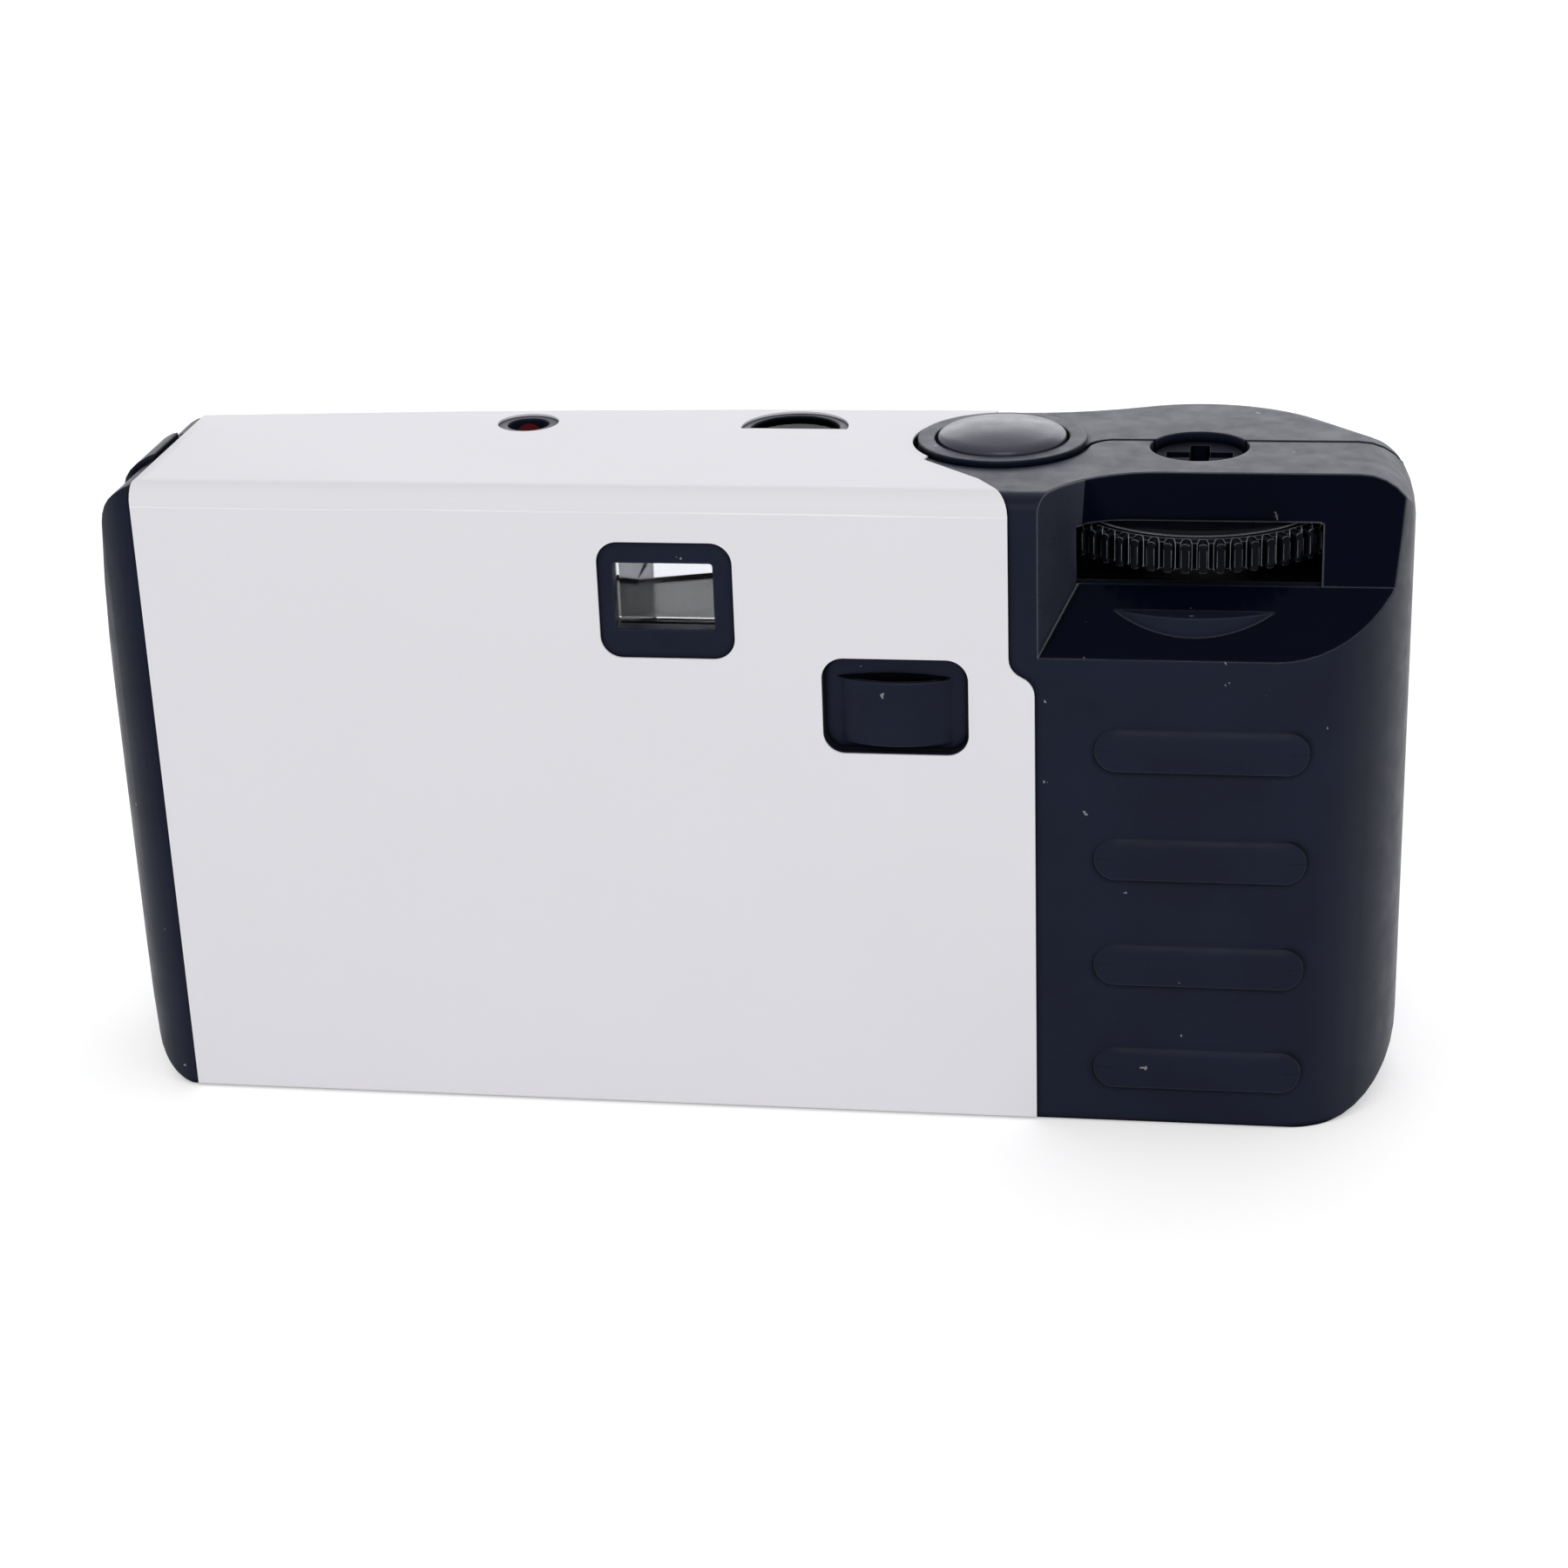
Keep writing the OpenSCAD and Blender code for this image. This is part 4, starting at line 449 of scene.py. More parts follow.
skirt = bmesh.new()
skirt_corners = (
    (FINDER.x - SKIRT_HALF, SKIRT_REAR_LEFT), (FINDER.x + SKIRT_HALF, SKIRT_REAR_RIGHT),
    (FINDER.x + SKIRT_HALF, SKIRT_FRONT), (FINDER.x - SKIRT_HALF, SKIRT_FRONT),
)
skirt_low = [skirt.verts.new((x, y, floor_at(y) + SKIRT_LIFT)) for x, y in skirt_corners]
skirt_high = [skirt.verts.new((x, y, floor_at(y) + SKIRT_THICK)) for x, y in skirt_corners]
skirt.faces.new(skirt_low)
skirt.faces.new(skirt_high)
for k in range(4):
    skirt.faces.new((skirt_low[k], skirt_low[k - 1], skirt_high[k - 1], skirt_high[k]))
bmesh.ops.recalc_face_normals(skirt, faces=skirt.faces)
bmesh.ops.bevel(skirt, geom=list(skirt.edges), offset=SKIRT_EDGE, segments=2, affect="EDGES")
finder_skirt = add_piece("finder_skirt", skirt, SHARP, sheet_metal("skirt_silver", SKIRT_SILVER, 0.1))
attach(finder_skirt, "camera")


# Lens bezel: turned-looking black ring with stepped baffles in its funnel, snapped onto the shutter
# seat so that its flange clamps the moulded taking lens and the stop.
SHELL_BLACK = (0.0050, 0.0075, 0.0200)
LENS_AXIS = Vector((0, 0, 25.55)) * MM
BEZEL_FLANGE = [(7.4, 7.4), (14, 7.4), (14, 8.3), (12.5, 8.3)]
BEZEL_RIM = [(12.5, 15.0), (12.42, 15.5), (12.2, 16.0), (11.85, 16.38), (11.4, 16.65), (10.9, 16.75)]
BEZEL_MOUTH = [(9.4, 16.75), (9.15, 16.68), (9.0, 16.5)]
BEZEL_SEAT = [(3.4, 11.7), (3.4, 11.1), (4.8, 11.1), (4.8, 8.6), (7.4, 8.6)]
BAFFLES, BAFFLE_TOP, BAFFLE_DROP, BAFFLE_DRAFT = 6, (8.7, 16.3), (0.8, 0.73), (0.12, 0.08)


def lathe(profile, foot, along=2, steps=128, ring=False):
    """Turned shape: pairs of radius and height in millimetres, swept round an axis through the foot."""
    work = bmesh.new()
    rings = []
    for radius, height in profile:
        circle = []
        for k in range(steps if radius else 1):
            angle = 2 * math.pi * k / steps
            point = [radius * math.cos(angle), radius * math.sin(angle)]
            point.insert(along, height)
            circle.append(work.verts.new(Vector(point) * MM + foot))
        rings.append(circle)
    pairs = list(zip(rings, rings[1:]))
    if ring:
        pairs.append((rings[-1], rings[0]))
    for low, high in pairs:
        for k in range(steps):
            corners = []
            for circle, at in ((low, k), (low, k + 1), (high, k + 1), (high, k)):
                corner = circle[at % len(circle)]
                if corner not in corners:
                    corners.append(corner)
            if len(corners) > 2:
                work.faces.new(corners)
    bmesh.ops.recalc_face_normals(work, faces=work.faces)
    return work


bezel_profile = BEZEL_FLANGE + BEZEL_RIM + BEZEL_MOUTH
for step in range(BAFFLES):
    baffle_r, baffle_y = (start - step * drop for start, drop in zip(BAFFLE_TOP, BAFFLE_DROP))
    bezel_profile.append((baffle_r, baffle_y))
    bezel_profile.append((baffle_r - BAFFLE_DRAFT[0], baffle_y - BAFFLE_DROP[1] + BAFFLE_DRAFT[1]))
bezel_profile += BEZEL_SEAT
shell_satin = moulded(
    "shell_satin", SHELL_BLACK, 0.42, 0.11, 0.3, soft_edge=0.35 * MM, rub_and_highlight=0.03, dust=0.8, bloom=0.04
)
bezel = add_piece("bezel_ring", lathe(bezel_profile, LENS_AXIS, 1, ring=True), SHARP, shell_satin)
stand_for(bezel, "lens_bezel", "camera")
dress(lens_plastic, "taking_lens")


# Thumbwheel: black wheel with rounded teeth round its rim, a cross-slotted hub under the key hole
# and a drive peg below that keys into the cartridge's spool. It turns in the chamber of the covers.
WHEEL = Vector((40.95, -1.0, 0)) * MM
TEETH = 54
TOOTH_WIDTH, TOOTH_HEIGHT, TOOTH_REACH, TOOTH_SINK = 1.0 * MM, 3.0 * MM, 0.9 * MM, 0.25 * MM
TOOTH_ROUND, TOOTH_EDGE = 0.42 * MM, 0.16 * MM
WHEEL_ROOT, WHEEL_FOOT = 12.5 * MM, 53.6 * MM
TOOTH_DRAFT, CREST_DRAFT = 0.9, 0.76
WHEEL_PEG = [(0, 49.6), (2.5, 49.6), (2.7, 49.8), (2.7, 52.0), (4.0, 52.0), (4.2, 52.2), (4.2, 53.6)]
WHEEL_RIM = [(12.2, 53.6), (12.5, 53.9), (12.5, 56.3), (12.2, 56.6), (11.6, 56.6), (11.6, 56.7), (11.45, 56.85)]
WHEEL_HUB = [(10.9, 57.0), (4.2, 57.0), (4.2, 60.25), (3.95, 60.5), (0, 60.5)]
TURNED_SHARP = math.radians(40)
HUB_FOOT = 57.2 * MM
KEY_HALF, KEY_FLOOR, KEY_TOP = (3.0, 0.9), 58.5, 61.5
WHEEL_BLACK, HUB_BLACK = (0.002, 0.0024, 0.0045), (0.003, 0.0035, 0.0085)

# Strong pale edges here paint highlights along the tooth outlines.
wheel_plastic = moulded("wheel_plastic", WHEEL_BLACK, 0.3, 0.045, 0.08, soft_edge=0.12 * MM, rub_and_highlight=1.0)
hub_plastic = moulded("hub_plastic", HUB_BLACK, 0.6, 0.015, soft_edge=0.15 * MM, rub_and_highlight=0.12)
tooth_tree, size_of = new_maker("wheel_teeth", {
    "Teeth": "Int", "Root radius": "Float", "Width": "Float", "Height": "Float", "Reach": "Float",
    "Round": "Float", "Edge": "Float", "Centre": "Vector", "Material": "Material",
})
outline = put(
    tooth_tree, "GeometryNodeCurvePrimitiveQuadrilateral", {"Width": size_of["Width"], "Height": size_of["Height"]}
).outputs[0]
outline = put(
    tooth_tree, "GeometryNodeFilletCurve", {"Curve": outline, "Count": 4, "Radius": size_of["Round"]}, mode="POLY"
).outputs[0]
root_face = put(tooth_tree, "GeometryNodeFillCurve", {"Curve": outline}, mode="NGONS").outputs[0]
shank = put(tooth_tree, "GeometryNodeExtrudeMesh", {"Mesh": root_face, "Offset Scale": size_of["Reach"]}).outputs
drafted = put(tooth_tree, "GeometryNodeScaleElements", {
    "Geometry": shank["Mesh"], "Selection": shank["Top"], "Scale": TOOTH_DRAFT,
}).outputs[0]
crest = put(
    tooth_tree, "GeometryNodeExtrudeMesh",
    {"Mesh": drafted, "Selection": shank["Top"], "Offset Scale": size_of["Edge"]},
).outputs
crested = put(tooth_tree, "GeometryNodeScaleElements", {
    "Geometry": crest["Mesh"], "Selection": crest["Top"], "Scale": CREST_DRAFT,
}).outputs[0]
closed = put(tooth_tree, "GeometryNodeFlipFaces", {"Mesh": root_face}).outputs[0]
tooth = put(tooth_tree, "GeometryNodeJoinGeometry").outputs[0]
tooth_tree.links.new(crested, tooth.node.inputs[0])
tooth_tree.links.new(closed, tooth.node.inputs[0])
tooth = put(tooth_tree, "GeometryNodeMergeByDistance", {"Geometry": tooth, "Distance": WELD}).outputs[0]
seats = put(
    tooth_tree, "GeometryNodeMeshCircle", {"Vertices": size_of["Teeth"], "Radius": size_of["Root radius"]}
).outputs[0]
pitch = math_of(tooth_tree, "DIVIDE", 2 * math.pi, size_of["Teeth"])
turned = math_of(tooth_tree, "MULTIPLY", put(tooth_tree, "GeometryNodeInputIndex").outputs[0], pitch)
facing = put(
    tooth_tree, "ShaderNodeCombineXYZ", {"X": math.pi / 2, "Z": math_of(tooth_tree, "ADD", turned, math.pi / 2)}
).outputs[0]
teeth = put(
    tooth_tree, "GeometryNodeInstanceOnPoints", {"Points": seats, "Instance": tooth, "Rotation": facing}
).outputs[0]
teeth = put(tooth_tree, "GeometryNodeTransform", {"Geometry": teeth, "Translation": size_of["Centre"]}).outputs[0]
teeth = put(tooth_tree, "GeometryNodeRealizeInstances", {"Geometry": teeth}).outputs[0]
teeth = put(tooth_tree, "GeometryNodeSetMaterial", {"Geometry": teeth, "Material": size_of["Material"]}).outputs[0]
put(tooth_tree, "NodeGroupOutput", {"Geometry": teeth})


def carve(blank, cutter):
    """Mesh of one piece with another piece's shape cut out of it. Both pieces are used up."""
    cut = blank.modifiers.new("cut", "BOOLEAN")
    cut.object = cutter
    cut.use_self = True
    carved = plain_mesh(blank)
    bpy.data.objects.remove(cutter)
    bpy.data.objects.remove(blank)
    return carved


wheel_teeth = grow(tooth_tree, {
    "Teeth": TEETH, "Root radius": WHEEL_ROOT - TOOTH_SINK, "Width": TOOTH_WIDTH, "Height": TOOTH_HEIGHT,
    "Reach": TOOTH_REACH + TOOTH_SINK - TOOTH_EDGE, "Round": TOOTH_ROUND, "Edge": TOOTH_EDGE,
    "Centre": WHEEL + Vector((0, 0, WHEEL_FOOT + TOOTH_HEIGHT / 2)), "Material": wheel_plastic,
})
wheel_blank = add_piece("wheel_blank", lathe(WHEEL_PEG + WHEEL_RIM + WHEEL_HUB, WHEEL), SHARP, wheel_plastic)
key_slots = bmesh.new()
for half_x, half_y in (KEY_HALF, KEY_HALF[::-1]):
    for vert in bmesh.ops.create_cube(key_slots, size=2.0)["verts"]:
        height = KEY_TOP if vert.co.z > 0 else KEY_FLOOR
        vert.co = WHEEL + Vector((half_x * vert.co.x, half_y * vert.co.y, height)) * MM
key_cutter = add_piece("key_cutter", key_slots, SHARP, wheel_plastic)
wheel_work = bmesh.new()
wheel_work.from_mesh(carve(wheel_blank, key_cutter))
wheel_work.from_mesh(wheel_teeth)
for face in wheel_work.faces:
    face.material_index = 1 if face.calc_center_median().z > HUB_FOOT else 0
wheel = add_piece("winding_wheel", wheel_work, TURNED_SHARP, wheel_plastic, hub_plastic)
stand_for(wheel, "thumbwheel", "winder")


# Front cover: satin black shell with the grip bulge, the shutter collar and the front windows. It
# snaps to the rear cover along the parting plane, where both edges are broken.
FRONT_PARTING, REAR_PARTING = 1.025 * MM, 0.575 * MM
SEAM_EASE, SEAM_NEAR = 0.3 * MM, 0.005 * MM
BODY_MIDDLE = Vector((0, 0, 30)) * MM
SKIN_WELD, SKIN_FLAT, SKIN_SHARP = 0.002 * MM, math.radians(0.4), math.radians(24)


def open_skin(node):
    """Copy of a CAD node's mesh, welded and with its flat facets joined, ready for shaping."""
    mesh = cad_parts[node].data.copy()
    if "custom_normal" in mesh.attributes:
        mesh.attributes.remove(mesh.attributes["custom_normal"])
    work = bmesh.new()
    work.from_mesh(mesh)
    bmesh.ops.remove_doubles(work, verts=work.verts, dist=SKIN_WELD)
    bmesh.ops.dissolve_limit(work, angle_limit=SKIN_FLAT, verts=work.verts, edges=work.edges)
    for face in work.faces:
        face.material_index = 0
    work.normal_update()
    return work


def settle_normals(piece):
    """Lets the broad flat faces rule the shading, and keeps the result in the mesh."""
    weights = piece.modifiers.new("broad_faces", "WEIGHTED_NORMAL")
    weights.keep_sharp = True
    weights.weight = 100
    settled = plain_mesh(piece)
    settled.name = piece.name
    piece.modifiers.clear()
    piece.data = settled


def ease_seam(work, y):
    """Breaks the outer edges that a cover has on its parting plane."""
    edges = []
    for edge in work.edges:
        middle = (edge.verts[0].co + edge.verts[1].co) / 2
        if any(abs(v.co.y - y) > SEAM_NEAR for v in edge.verts) or len(edge.link_faces) != 2:
            continue
        sides = [f.normal for f in edge.link_faces if abs(f.normal.y) < 0.5]
        if len(sides) == 1 and sides[0].dot(middle - BODY_MIDDLE) > 0:
            edges.append(edge)
    bmesh.ops.bevel(
        work, geom=edges, offset=SEAM_EASE, segments=2, profile=0.5, affect="EDGES", clamp_overlap=True
    )
    work.normal_update()


front_work = open_skin("front_cover")
ease_seam(front_work, FRONT_PARTING)
front = add_piece("front_shell", front_work, SKIN_SHARP, shell_satin)
settle_normals(front)
stand_for(front, "front_cover", "camera")


# Rear cover: satin black shell with a grained back, a polished thumb pocket for the wheel, soft
# grip ribs and a bowed pry tongue. A lip closes the seam, and its near-black colour is painted shade.
BACK_Y, RIB_Y = -16.3 * MM, -16.75 * MM
RIB_CENTRE_X, RIB_HALF = 41.9 * MM, 2.0 * MM
RIB_INSETS = (0.0, 0.35 * MM, 0.8 * MM, 1.4 * MM)
RIB_DROPS = (0.42 * MM, 0.2 * MM, 0.06 * MM, 0.0)
RIB_LEDGE = 0.04 * MM
POCKET_LEFT, POCKET_FLANK, POCKET_LOW, POCKET_DEPTH = 27.2 * MM, 31.0 * MM, 46.1 * MM, -8.0 * MM
GRIP_CORNER, GRIP_CORNER_R = Vector((48.25, -4.3)) * MM, 12.0 * MM
CHAMBER_R = 13.5 * MM
SEAL_GAP = 0.02 * MM
NEAR = 0.05 * MM
SATIN, POLISH_AND_REFLECTION, FLANK_LIT, SEAM = range(4)
# Painted light in these colours: the pocket black is darkened for a dark reflection, the flank grey is lightened
# for light it catches, and the seam black is shade.
POCKET_REFLECTION_BLACK, FLANK_LIT_GREY, SHADE_BLACK = (0.0014, 0.0022, 0.0082), (0.022, 0.024, 0.038), (0.0006, 0.0007, 0.0014)


def on_cylinder(face, centre, radius):
    """Whether all of a face's corners lie on an upright cylinder."""
    return all(abs((Vector(v.co[:2]) - Vector(centre[:2])).length - radius) < NEAR for v in face.verts)


def finish_at(face):
    """Finish of a face of the rear cover: satin, polished and darkened by a painted reflection in the thumb pocket,
    or lightened by painted light on its right-facing flank.
    """
    middle = face.calc_center_median()
    inside = middle.x > POCKET_LEFT and middle.z > POCKET_LOW and BACK_Y + NEAR < middle.y < POCKET_DEPTH
    if not inside or face.normal.y > -0.3 or on_cylinder(face, WHEEL, CHAMBER_R):
        return SATIN
    if middle.x > GRIP_CORNER.x and on_cylinder(face, GRIP_CORNER, GRIP_CORNER_R):
        return SATIN
    return FLANK_LIT if middle.x < POCKET_FLANK and face.normal.x > 0.2 else POLISH_AND_REFLECTION


def faces_at(work, y, way):
    """Faces that lie flat at one depth and look one way along it."""
    return [f for f in work.faces if f.normal.y * way > 0.99 and abs(f.calc_center_median().y - y) < NEAR]


# The pocket's darker black is a painted dark reflection on a real polished finish.
shell_polish_reflection = moulded("shell_polish_reflection", POCKET_REFLECTION_BLACK, 0.2, 0.02, 0.03, soft_edge=0.3 * MM, rub_and_highlight=0.35, dust=0.3)
# The flank's lighter grey is painted light.
shell_flank_lit = moulded("shell_flank_lit", FLANK_LIT_GREY, 0.3, 0.2, 0.05, soft_edge=0.4 * MM, rub_and_highlight=0.35, dust=0.3)
# Near-black finish for the seam lip and the pry slot: painted shade.
painted_shade_black = moulded("painted_shade_black", SHADE_BLACK, 0.6, 0.02)
rear_work = open_skin("rear_cover")
ease_seam(rear_work, REAR_PARTING)
seal = bmesh.ops.extrude_face_region(rear_work, geom=faces_at(rear_work, REAR_PARTING, 1))
seal_edge = {part for part in seal["geom"] if isinstance(part, bmesh.types.BMVert)}
for vert in seal_edge:
    vert.co.y = FRONT_PARTING - SEAL_GAP
rear_work.normal_update()
# Faces of the seam lip take the near-black painted shade.
for face in rear_work.faces:
    face.material_index = finish_at(face) if seal_edge.isdisjoint(face.verts) else SEAM
for top in faces_at(rear_work, RIB_Y, -1):
    heights = [v.co.z for v in top.verts]
    middle_z = (min(heights) + max(heights)) / 2
    last = 0.0
    for inset, drop in zip(RIB_INSETS, RIB_DROPS):
        if inset:
            bmesh.ops.inset_region(rear_work, faces=[top], thickness=0.0)
        ledge = min(drop, RIB_LEDGE)
        for vert in top.verts:
            off_x, off_z = vert.co.x - RIB_CENTRE_X, vert.co.z - middle_z
            vert.co.x -= math.copysign(min(inset - last, abs(off_x)), off_x)
            vert.co.z -= math.copysign(min(inset - last, abs(off_z)), off_z)
            share = min(max((off_z / RIB_HALF + 1) / 2, 0.0), 1.0)
            vert.co.y = RIB_Y + ledge + (drop - ledge) * share * share * (3 - 2 * share)
        last = inset
rear_work.normal_update()
rear = add_piece("rear_shell", rear_work, SKIN_SHARP, shell_satin, shell_polish_reflection, shell_flank_lit, painted_shade_black)
settle_normals(rear)
stand_for(rear, "rear_cover", "camera")


# Pry slot: a near-black plate of painted shade in the mouth above the rear cover's bowed tongue,
# standing in for the shaded slot where a blade goes in to open it.
MOUTH_LEFT, MOUTH_RIGHT, MOUTH_Z = 9.3 * MM, 19.5 * MM, 43.95 * MM
MOUTH_RISE, MOUTH_SAG, MOUTH_STEPS = 0.35 * MM, 0.95 * MM, 24
MOUTH_FACE, MOUTH_BACK = -15.36 * MM, -15.2 * MM
mouth = bmesh.new()
mouth_edge = []
for k in range(MOUTH_STEPS + 1):
    mouth_edge.append((k / MOUTH_STEPS, MOUTH_RISE))
for k in range(MOUTH_STEPS - 1, 0, -1):
    mouth_edge.append((k / MOUTH_STEPS, -MOUTH_SAG))
mouth_rings = [
    [
        mouth.verts.new((MOUTH_LEFT + t * (MOUTH_RIGHT - MOUTH_LEFT), y, MOUTH_Z + bow * 4 * t * (1 - t)))
        for t, bow in mouth_edge
    ]
    for y in (MOUTH_FACE, MOUTH_BACK)
]
for ring in mouth_rings:
    mouth.faces.new(ring)
for k in range(len(mouth_edge)):
    mouth.faces.new((mouth_rings[0][k - 1], mouth_rings[0][k], mouth_rings[1][k], mouth_rings[1][k - 1]))
bmesh.ops.recalc_face_normals(mouth, faces=mouth.faces)
pry_slot_shade = add_piece("pry_slot_shade", mouth, SHARP, painted_shade_black)
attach(pry_slot_shade, "camera")


# Shutter button: smooth black cap with a low dome and a rounded rim, held under the front cover by
# its flange, with a stem down to the release lever.
BUTTON = Vector((23.0, -0.1, 0)) * MM
BUTTON_STEM = [(0, 52.5), (1.0, 52.5), (1.0, 54.0), (1.6, 54.0), (1.6, 58.6)]
BUTTON_FLANGE = [(6.6, 58.6), (6.8, 58.8), (6.8, 59.4), (6.6, 59.6), (5.9, 59.6)]
BUTTON_RIM = [(5.9, 61.75), (5.87, 61.95), (5.78, 62.1), (5.64, 62.21)]
BUTTON_BLACK = (0.018, 0.019, 0.038)
DOME_EDGE, DOME_TOP, DOME_BALL, DOME_STEPS = 5.4, 63.1, 19.79, 12
button_profile = BUTTON_STEM + BUTTON_FLANGE + BUTTON_RIM
for step in range(DOME_STEPS + 1):
    dome_r = DOME_EDGE * (1 - step / DOME_STEPS)
    button_profile.append((dome_r, DOME_TOP - DOME_BALL + math.sqrt(DOME_BALL ** 2 - dome_r ** 2)))
button_plastic = moulded("button_plastic", BUTTON_BLACK, 0.28, 0.42, 0.05)
button = add_piece("shutter_cap", lathe(button_profile, BUTTON), TURNED_SHARP, button_plastic)
stand_for(button, "shutter_button", "release_button")


# Flash button and windows: a satin black push cap beside the lens, a clear flash panel that follows
# the front with grooves inside to spread the light, and a smoked insert over the counter dial.
FLASH_MIDDLE = Vector((-40.25, 0, 53.3)) * MM
BOW_CENTRE, BOW_R, PANEL_DEPTH = (23.75 * MM, -839.1 * MM), 850 * MM, 1.4 * MM
GROOVES, GROOVE_PITCH = 14, 1.45 * MM
GROOVE_R, GROOVE_DEPTH, GROOVE_LENGTH = 1.0 * MM, 0.28 * MM, 8.6 * MM
WINDOW_CLEAR, SMOKE_GREY = (0.93, 0.95, 0.97), (0.08, 0.08, 0.09)
dress(shell_satin, "flash_button")
window_plastic = clear("window_plastic", WINDOW_CLEAR, 0.03)
groove_tree, groove_size = new_maker("window_grooves", {
    "Grooves": "Int", "Pitch": "Float", "Radius": "Float", "Height": "Float", "Start": "Vector",
    "Bow centre x": "Float", "Bow centre y": "Float", "Bow radius": "Float", "Material": "Material",
})
groove_row = put(groove_tree, "GeometryNodeMeshLine", {
    "Count": groove_size["Grooves"], "Start Location": groove_size["Start"],
    "Offset": put(groove_tree, "ShaderNodeCombineXYZ", {"X": groove_size["Pitch"]}).outputs[0],
}).outputs[0]
groove_spot = put(
    groove_tree, "ShaderNodeSeparateXYZ", {0: put(groove_tree, "GeometryNodeInputPosition").outputs[0]}
).outputs
groove_off = math_of(groove_tree, "SUBTRACT", groove_spot["X"], groove_size["Bow centre x"])
groove_reach = math_of(
    groove_tree, "SUBTRACT", math_of(groove_tree, "POWER", groove_size["Bow radius"], 2.0),
    math_of(groove_tree, "MULTIPLY", groove_off, groove_off),
)
groove_y = math_of(groove_tree, "ADD", math_of(groove_tree, "SQRT", groove_reach), groove_size["Bow centre y"])
groove_place = put(
    groove_tree, "ShaderNodeCombineXYZ", {"X": groove_spot["X"], "Y": groove_y, "Z": groove_spot["Z"]}
).outputs[0]
groove_row = put(
    groove_tree, "GeometryNodeSetPosition", {"Geometry": groove_row, "Position": groove_place}
).outputs[0]
groove_bar = put(groove_tree, "GeometryNodeMeshCylinder", {
    "Vertices": 32, "Radius": groove_size["Radius"], "Depth": groove_size["Height"],
}).outputs[0]
grooves = put(
    groove_tree, "GeometryNodeInstanceOnPoints", {"Points": groove_row, "Instance": groove_bar}
).outputs[0]
grooves = put(groove_tree, "GeometryNodeRealizeInstances", {"Geometry": grooves}).outputs[0]
grooves = put(
    groove_tree, "GeometryNodeSetMaterial", {"Geometry": grooves, "Material": groove_size["Material"]}
).outputs[0]
put(groove_tree, "NodeGroupOutput", {"Geometry": grooves})
groove_work = bmesh.new()
groove_work.from_mesh(grow(groove_tree, {
    "Grooves": GROOVES, "Pitch": GROOVE_PITCH, "Radius": GROOVE_R, "Height": GROOVE_LENGTH,
    "Start": FLASH_MIDDLE - Vector((GROOVE_PITCH * (GROOVES - 1) / 2, 0, 0)), "Bow centre x": BOW_CENTRE[0],
    "Bow centre y": BOW_CENTRE[1] - PANEL_DEPTH - GROOVE_R + GROOVE_DEPTH, "Bow radius": BOW_R,
    "Material": window_plastic,
}))
groove_cutter = add_piece("groove_cutter", groove_work, SHARP, window_plastic)
panel_blank = add_piece("panel_blank", open_skin("flash_window"), SHARP, window_plastic)
panel_work = bmesh.new()
panel_work.from_mesh(carve(panel_blank, groove_cutter))
flash_panel = add_piece("flash_panel", panel_work, SKIN_SHARP, window_plastic)
stand_for(flash_panel, "flash_window", "camera")
dress(clear("smoked_plastic", SMOKE_GREY, 0.06, index=1.06), "counter_window")


# Wrap label: white printed film, die-cut round the windows, folded over the top and glued down. A
# thin pale line, patchy along its length, runs along the fold.
LABEL_WHITE = (0.785, 0.775, 0.815)
CREASE_PALE = (0.93, 0.93, 0.95)
FOLD_Z, FOLD_WANDER, CREASE_HALF = 59.45 * MM, 0.1 * MM, 0.09 * MM
FOLD_WAVE, CREASE_PATCH = 25 * MM, 18 * MM
PRINT_CLOUD, PRINT_GRAIN, PRINT_RELIEF = 14 * MM, 0.4 * MM, 0.01 * MM
PRINT_DARK, PRINT_SHINE, PRINT_ROUGH = 0.98, 0.08, (0.36, 0.42)
label_film, label_tree, label_shader, label_place = new_finish("label_film")
label_cloud = noise(label_tree, label_place, PRINT_CLOUD)
label_tone = tint(label_tree, label_cloud, [PRINT_DARK * c for c in LABEL_WHITE], LABEL_WHITE)
label_height = put(label_tree, "ShaderNodeSeparateXYZ", {"Vector": label_place}).outputs["Z"]
wavy = between(label_tree, noise(label_tree, label_place, FOLD_WAVE), -FOLD_WANDER, FOLD_WANDER)
off_fold = math_of(label_tree, "SUBTRACT", math_of(label_tree, "ADD", label_height, wavy), FOLD_Z)
on_fold = between(label_tree, math_of(label_tree, "ABSOLUTE", off_fold), 1.0, 0.0, 0.3 * CREASE_HALF, CREASE_HALF)
fold_line_patches = between(label_tree, noise(label_tree, label_place, CREASE_PATCH), 0.15, 0.9, 0.35, 0.65)
label_tone = tint(label_tree, math_of(label_tree, "MULTIPLY", on_fold, fold_line_patches), label_tone, CREASE_PALE)
label_tree.links.new(label_tone, label_shader.inputs["Base Color"])
label_shader.inputs["Specular IOR Level"].default_value = PRINT_SHINE
label_tree.links.new(between(label_tree, label_cloud, *PRINT_ROUGH), label_shader.inputs["Roughness"])
label_grain = noise(label_tree, label_place, PRINT_GRAIN)
label_bump = put(label_tree, "ShaderNodeBump", {"Height": label_grain, "Strength": 0.05, "Distance": PRINT_RELIEF})
label_tree.links.new(label_bump.outputs["Normal"], label_shader.inputs["Normal"])
label = add_piece("label_wrap", open_skin("wrap_label"), SHARP, label_film)
settle_normals(label)
stand_for(label, "wrap_label", "camera")


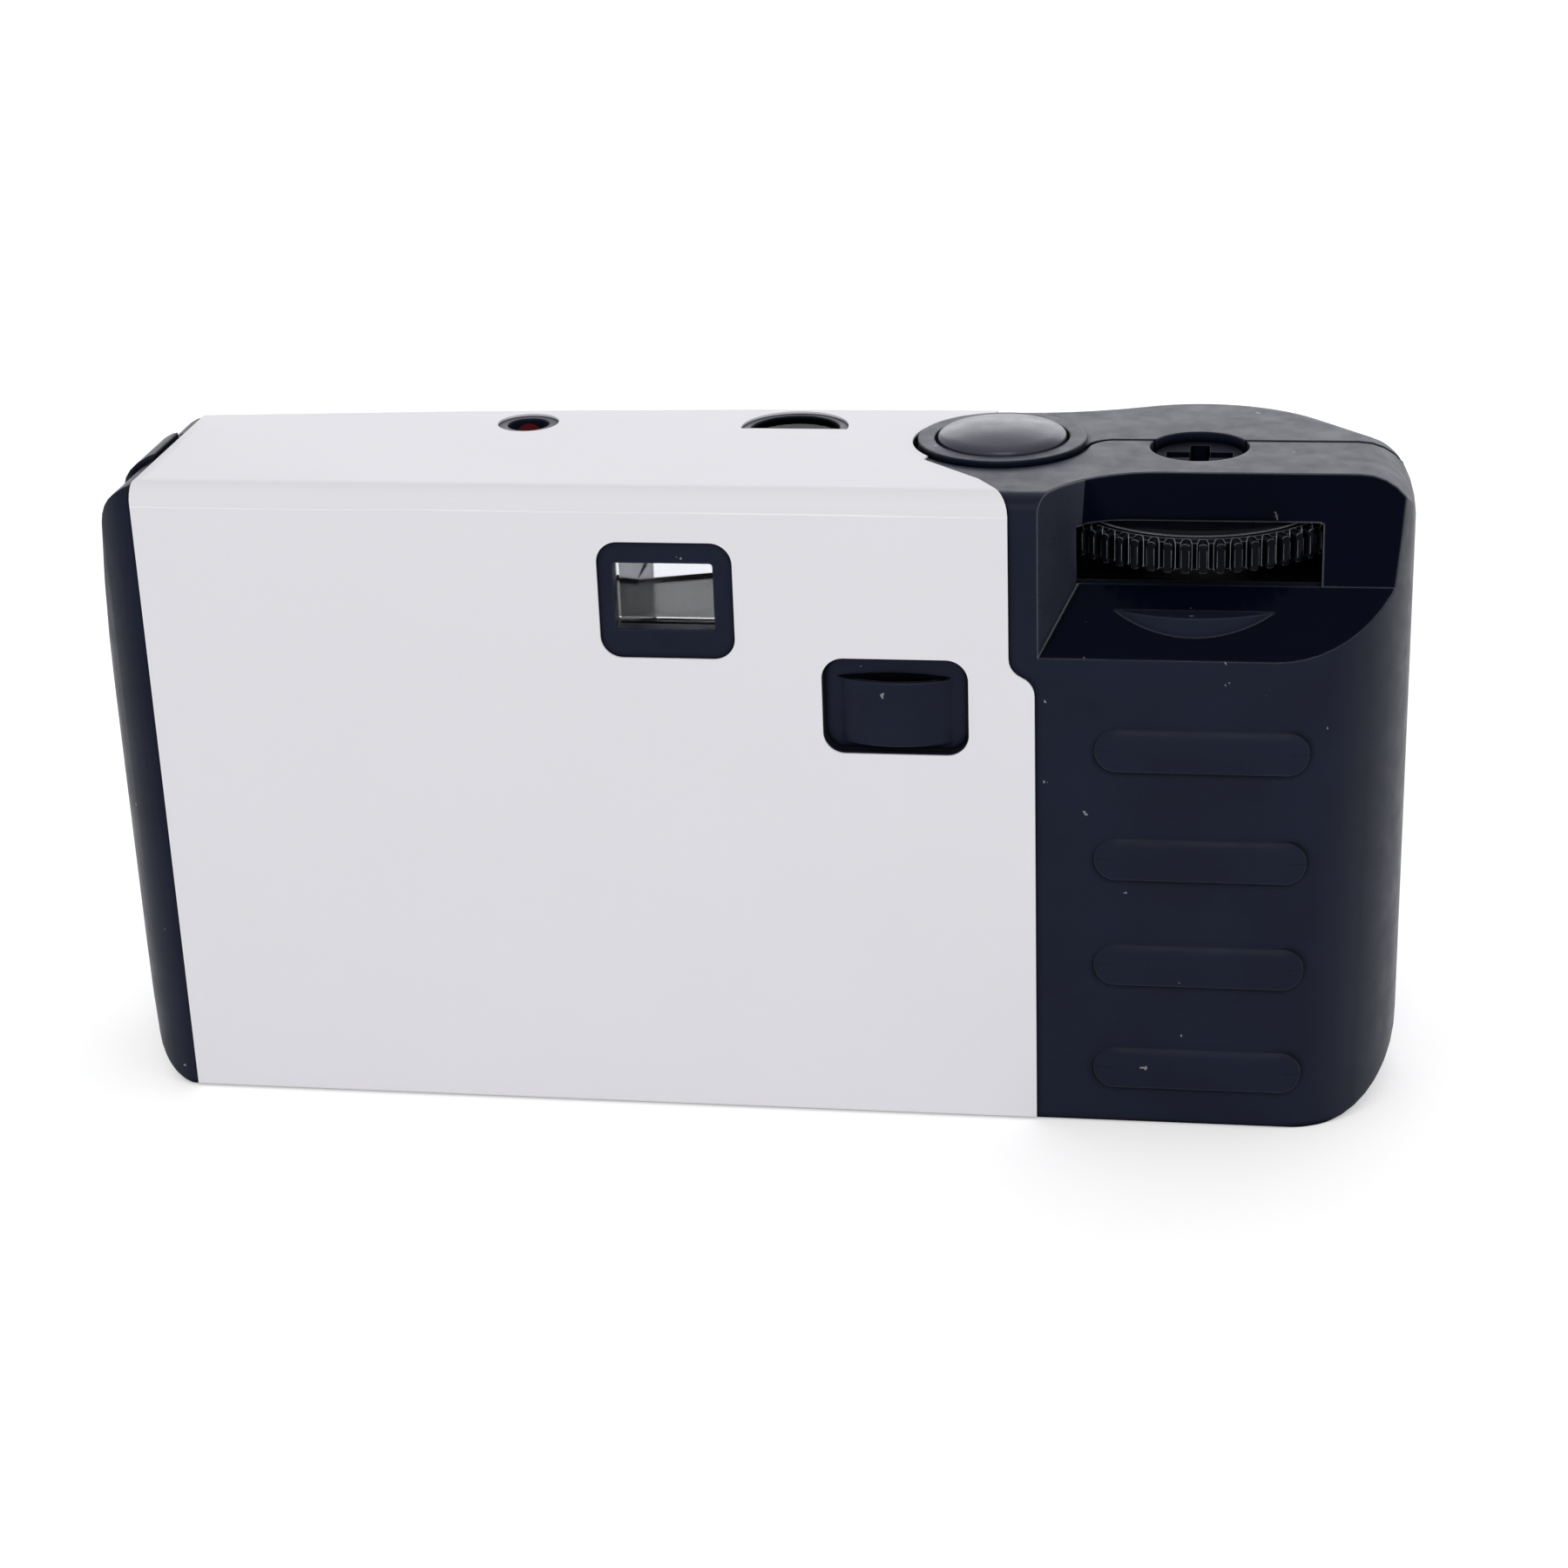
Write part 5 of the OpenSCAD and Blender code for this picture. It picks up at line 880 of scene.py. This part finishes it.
# Studio: a pale floor, a soft sheet of light overhead, a fill from the viewer's side, a low sheet
# behind the object and an even white room.
FLOOR_HALF = 3.0
FLOOR_PALE, FLOOR_BRIGHT = (0.93, 0.93, 0.935), (0.95, 0.95, 0.955)
FLOOR_CLOUD, FLOOR_GLOW = 60 * MM, 0.3
ROOM_LIGHT = 0.68
AIM_MIDDLE, AIM_HIGH = (0, 0, 0.03), (0, 0, 0.05)
floor_mesh = bpy.data.meshes.new("floor")
floor_mesh.from_pydata(
    [(FLOOR_HALF * x, FLOOR_HALF * y, 0) for x, y in ((-1, -1), (1, -1), (1, 1), (-1, 1))], [], [(0, 1, 2, 3)]
)
floor = bpy.data.objects.new("floor", floor_mesh)
bpy.context.scene.collection.objects.link(floor)


def seen_directly(tree):
    """1 for what the camera sees, also through glass or in gloss, and 0 for light that falls on things."""
    path = put(tree, "ShaderNodeLightPath").outputs
    mirrored = math_of(tree, "MAXIMUM", path["Is Glossy Ray"], path["Is Transmission Ray"])
    return math_of(tree, "MAXIMUM", path["Is Camera Ray"], mirrored)


floor_paper, floor_tree, floor_shader, floor_place = new_finish("floor_paper")
floor_cloud = noise(floor_tree, floor_place, FLOOR_CLOUD)
floor_tree.links.new(tint(floor_tree, floor_cloud, FLOOR_PALE, FLOOR_BRIGHT), floor_shader.inputs["Base Color"])
floor_shader.inputs["Roughness"].default_value = 0.9
floor_shader.inputs["Specular IOR Level"].default_value = 0.1
floor_shader.inputs["Emission Color"].default_value = (1, 1, 1, 1)
floor_tree.links.new(
    math_of(floor_tree, "MULTIPLY", seen_directly(floor_tree), FLOOR_GLOW), floor_shader.inputs["Emission Strength"]
)
floor_mesh.materials.append(floor_paper)

world = bpy.data.worlds.new("white_room")
bpy.context.scene.world = world
world.use_nodes = True
room = world.node_tree
room_level = between(room, seen_directly(room), ROOM_LIGHT, 1.0, 0.0, 1.0)
room.links.new(room_level, room.nodes["Background"].inputs["Strength"])
room.nodes["Background"].inputs["Color"].default_value = (1, 1, 1, 1)


def soft_light(name, place, target, size, power, colour=(1, 1, 1)):
    """Sheet of light that faces a point."""
    lamp = bpy.data.lights.new(name, "AREA")
    lamp.shape = "RECTANGLE"
    lamp.size, lamp.size_y = size
    lamp.energy = power
    lamp.color = colour
    holder = bpy.data.objects.new(name, lamp)
    holder.location = place
    holder.rotation_euler = (Vector(target) - Vector(place)).to_track_quat("-Z", "Y").to_euler()
    bpy.context.scene.collection.objects.link(holder)


soft_light("overhead", (0.05, 0.05, 0.9), AIM_MIDDLE, size=(0.7, 0.7), power=0.3)
soft_light("viewer_fill", (0.15, -0.95, 0.65), AIM_MIDDLE, size=(0.6, 0.6), power=3.0)
soft_light("back_sheet", (0.15, 0.95, 0.38), AIM_HIGH, size=(1.3, 0.5), power=2.75, colour=(0.92, 0.93, 1.0))


# Camera: at the photograph's place, behind the camera body and above its grip, with a slight roll.
AZIMUTH, ELEVATION, ROLL = math.radians(9.34), math.radians(22.93), math.radians(-2.21)
VIEWPOINT = Vector((48.0, -282.5, 147.75)) * MM
FOCAL_PIXELS, FRAME_PIXELS, SENSOR = 3690, 1800, 36.0
back = Vector((
    math.sin(AZIMUTH) * math.cos(ELEVATION), -math.cos(AZIMUTH) * math.cos(ELEVATION), math.sin(ELEVATION)
))
level = (-back).cross(Vector((0, 0, 1))).normalized()
above = level.cross(-back)
right = level * math.cos(ROLL) + above * math.sin(ROLL)
up = above * math.cos(ROLL) - level * math.sin(ROLL)
lens = bpy.data.cameras.new("viewer")
lens.sensor_width = SENSOR
lens.lens = SENSOR * FOCAL_PIXELS / FRAME_PIXELS
lens.clip_start = 0.01
viewer = bpy.data.objects.new("viewer", lens)
viewer.matrix_world = Matrix.Translation(VIEWPOINT) @ Matrix((right, up, back)).transposed().to_4x4()
bpy.context.scene.collection.objects.link(viewer)
bpy.context.scene.camera = viewer
bpy.context.scene.view_settings.view_transform = "Standard"
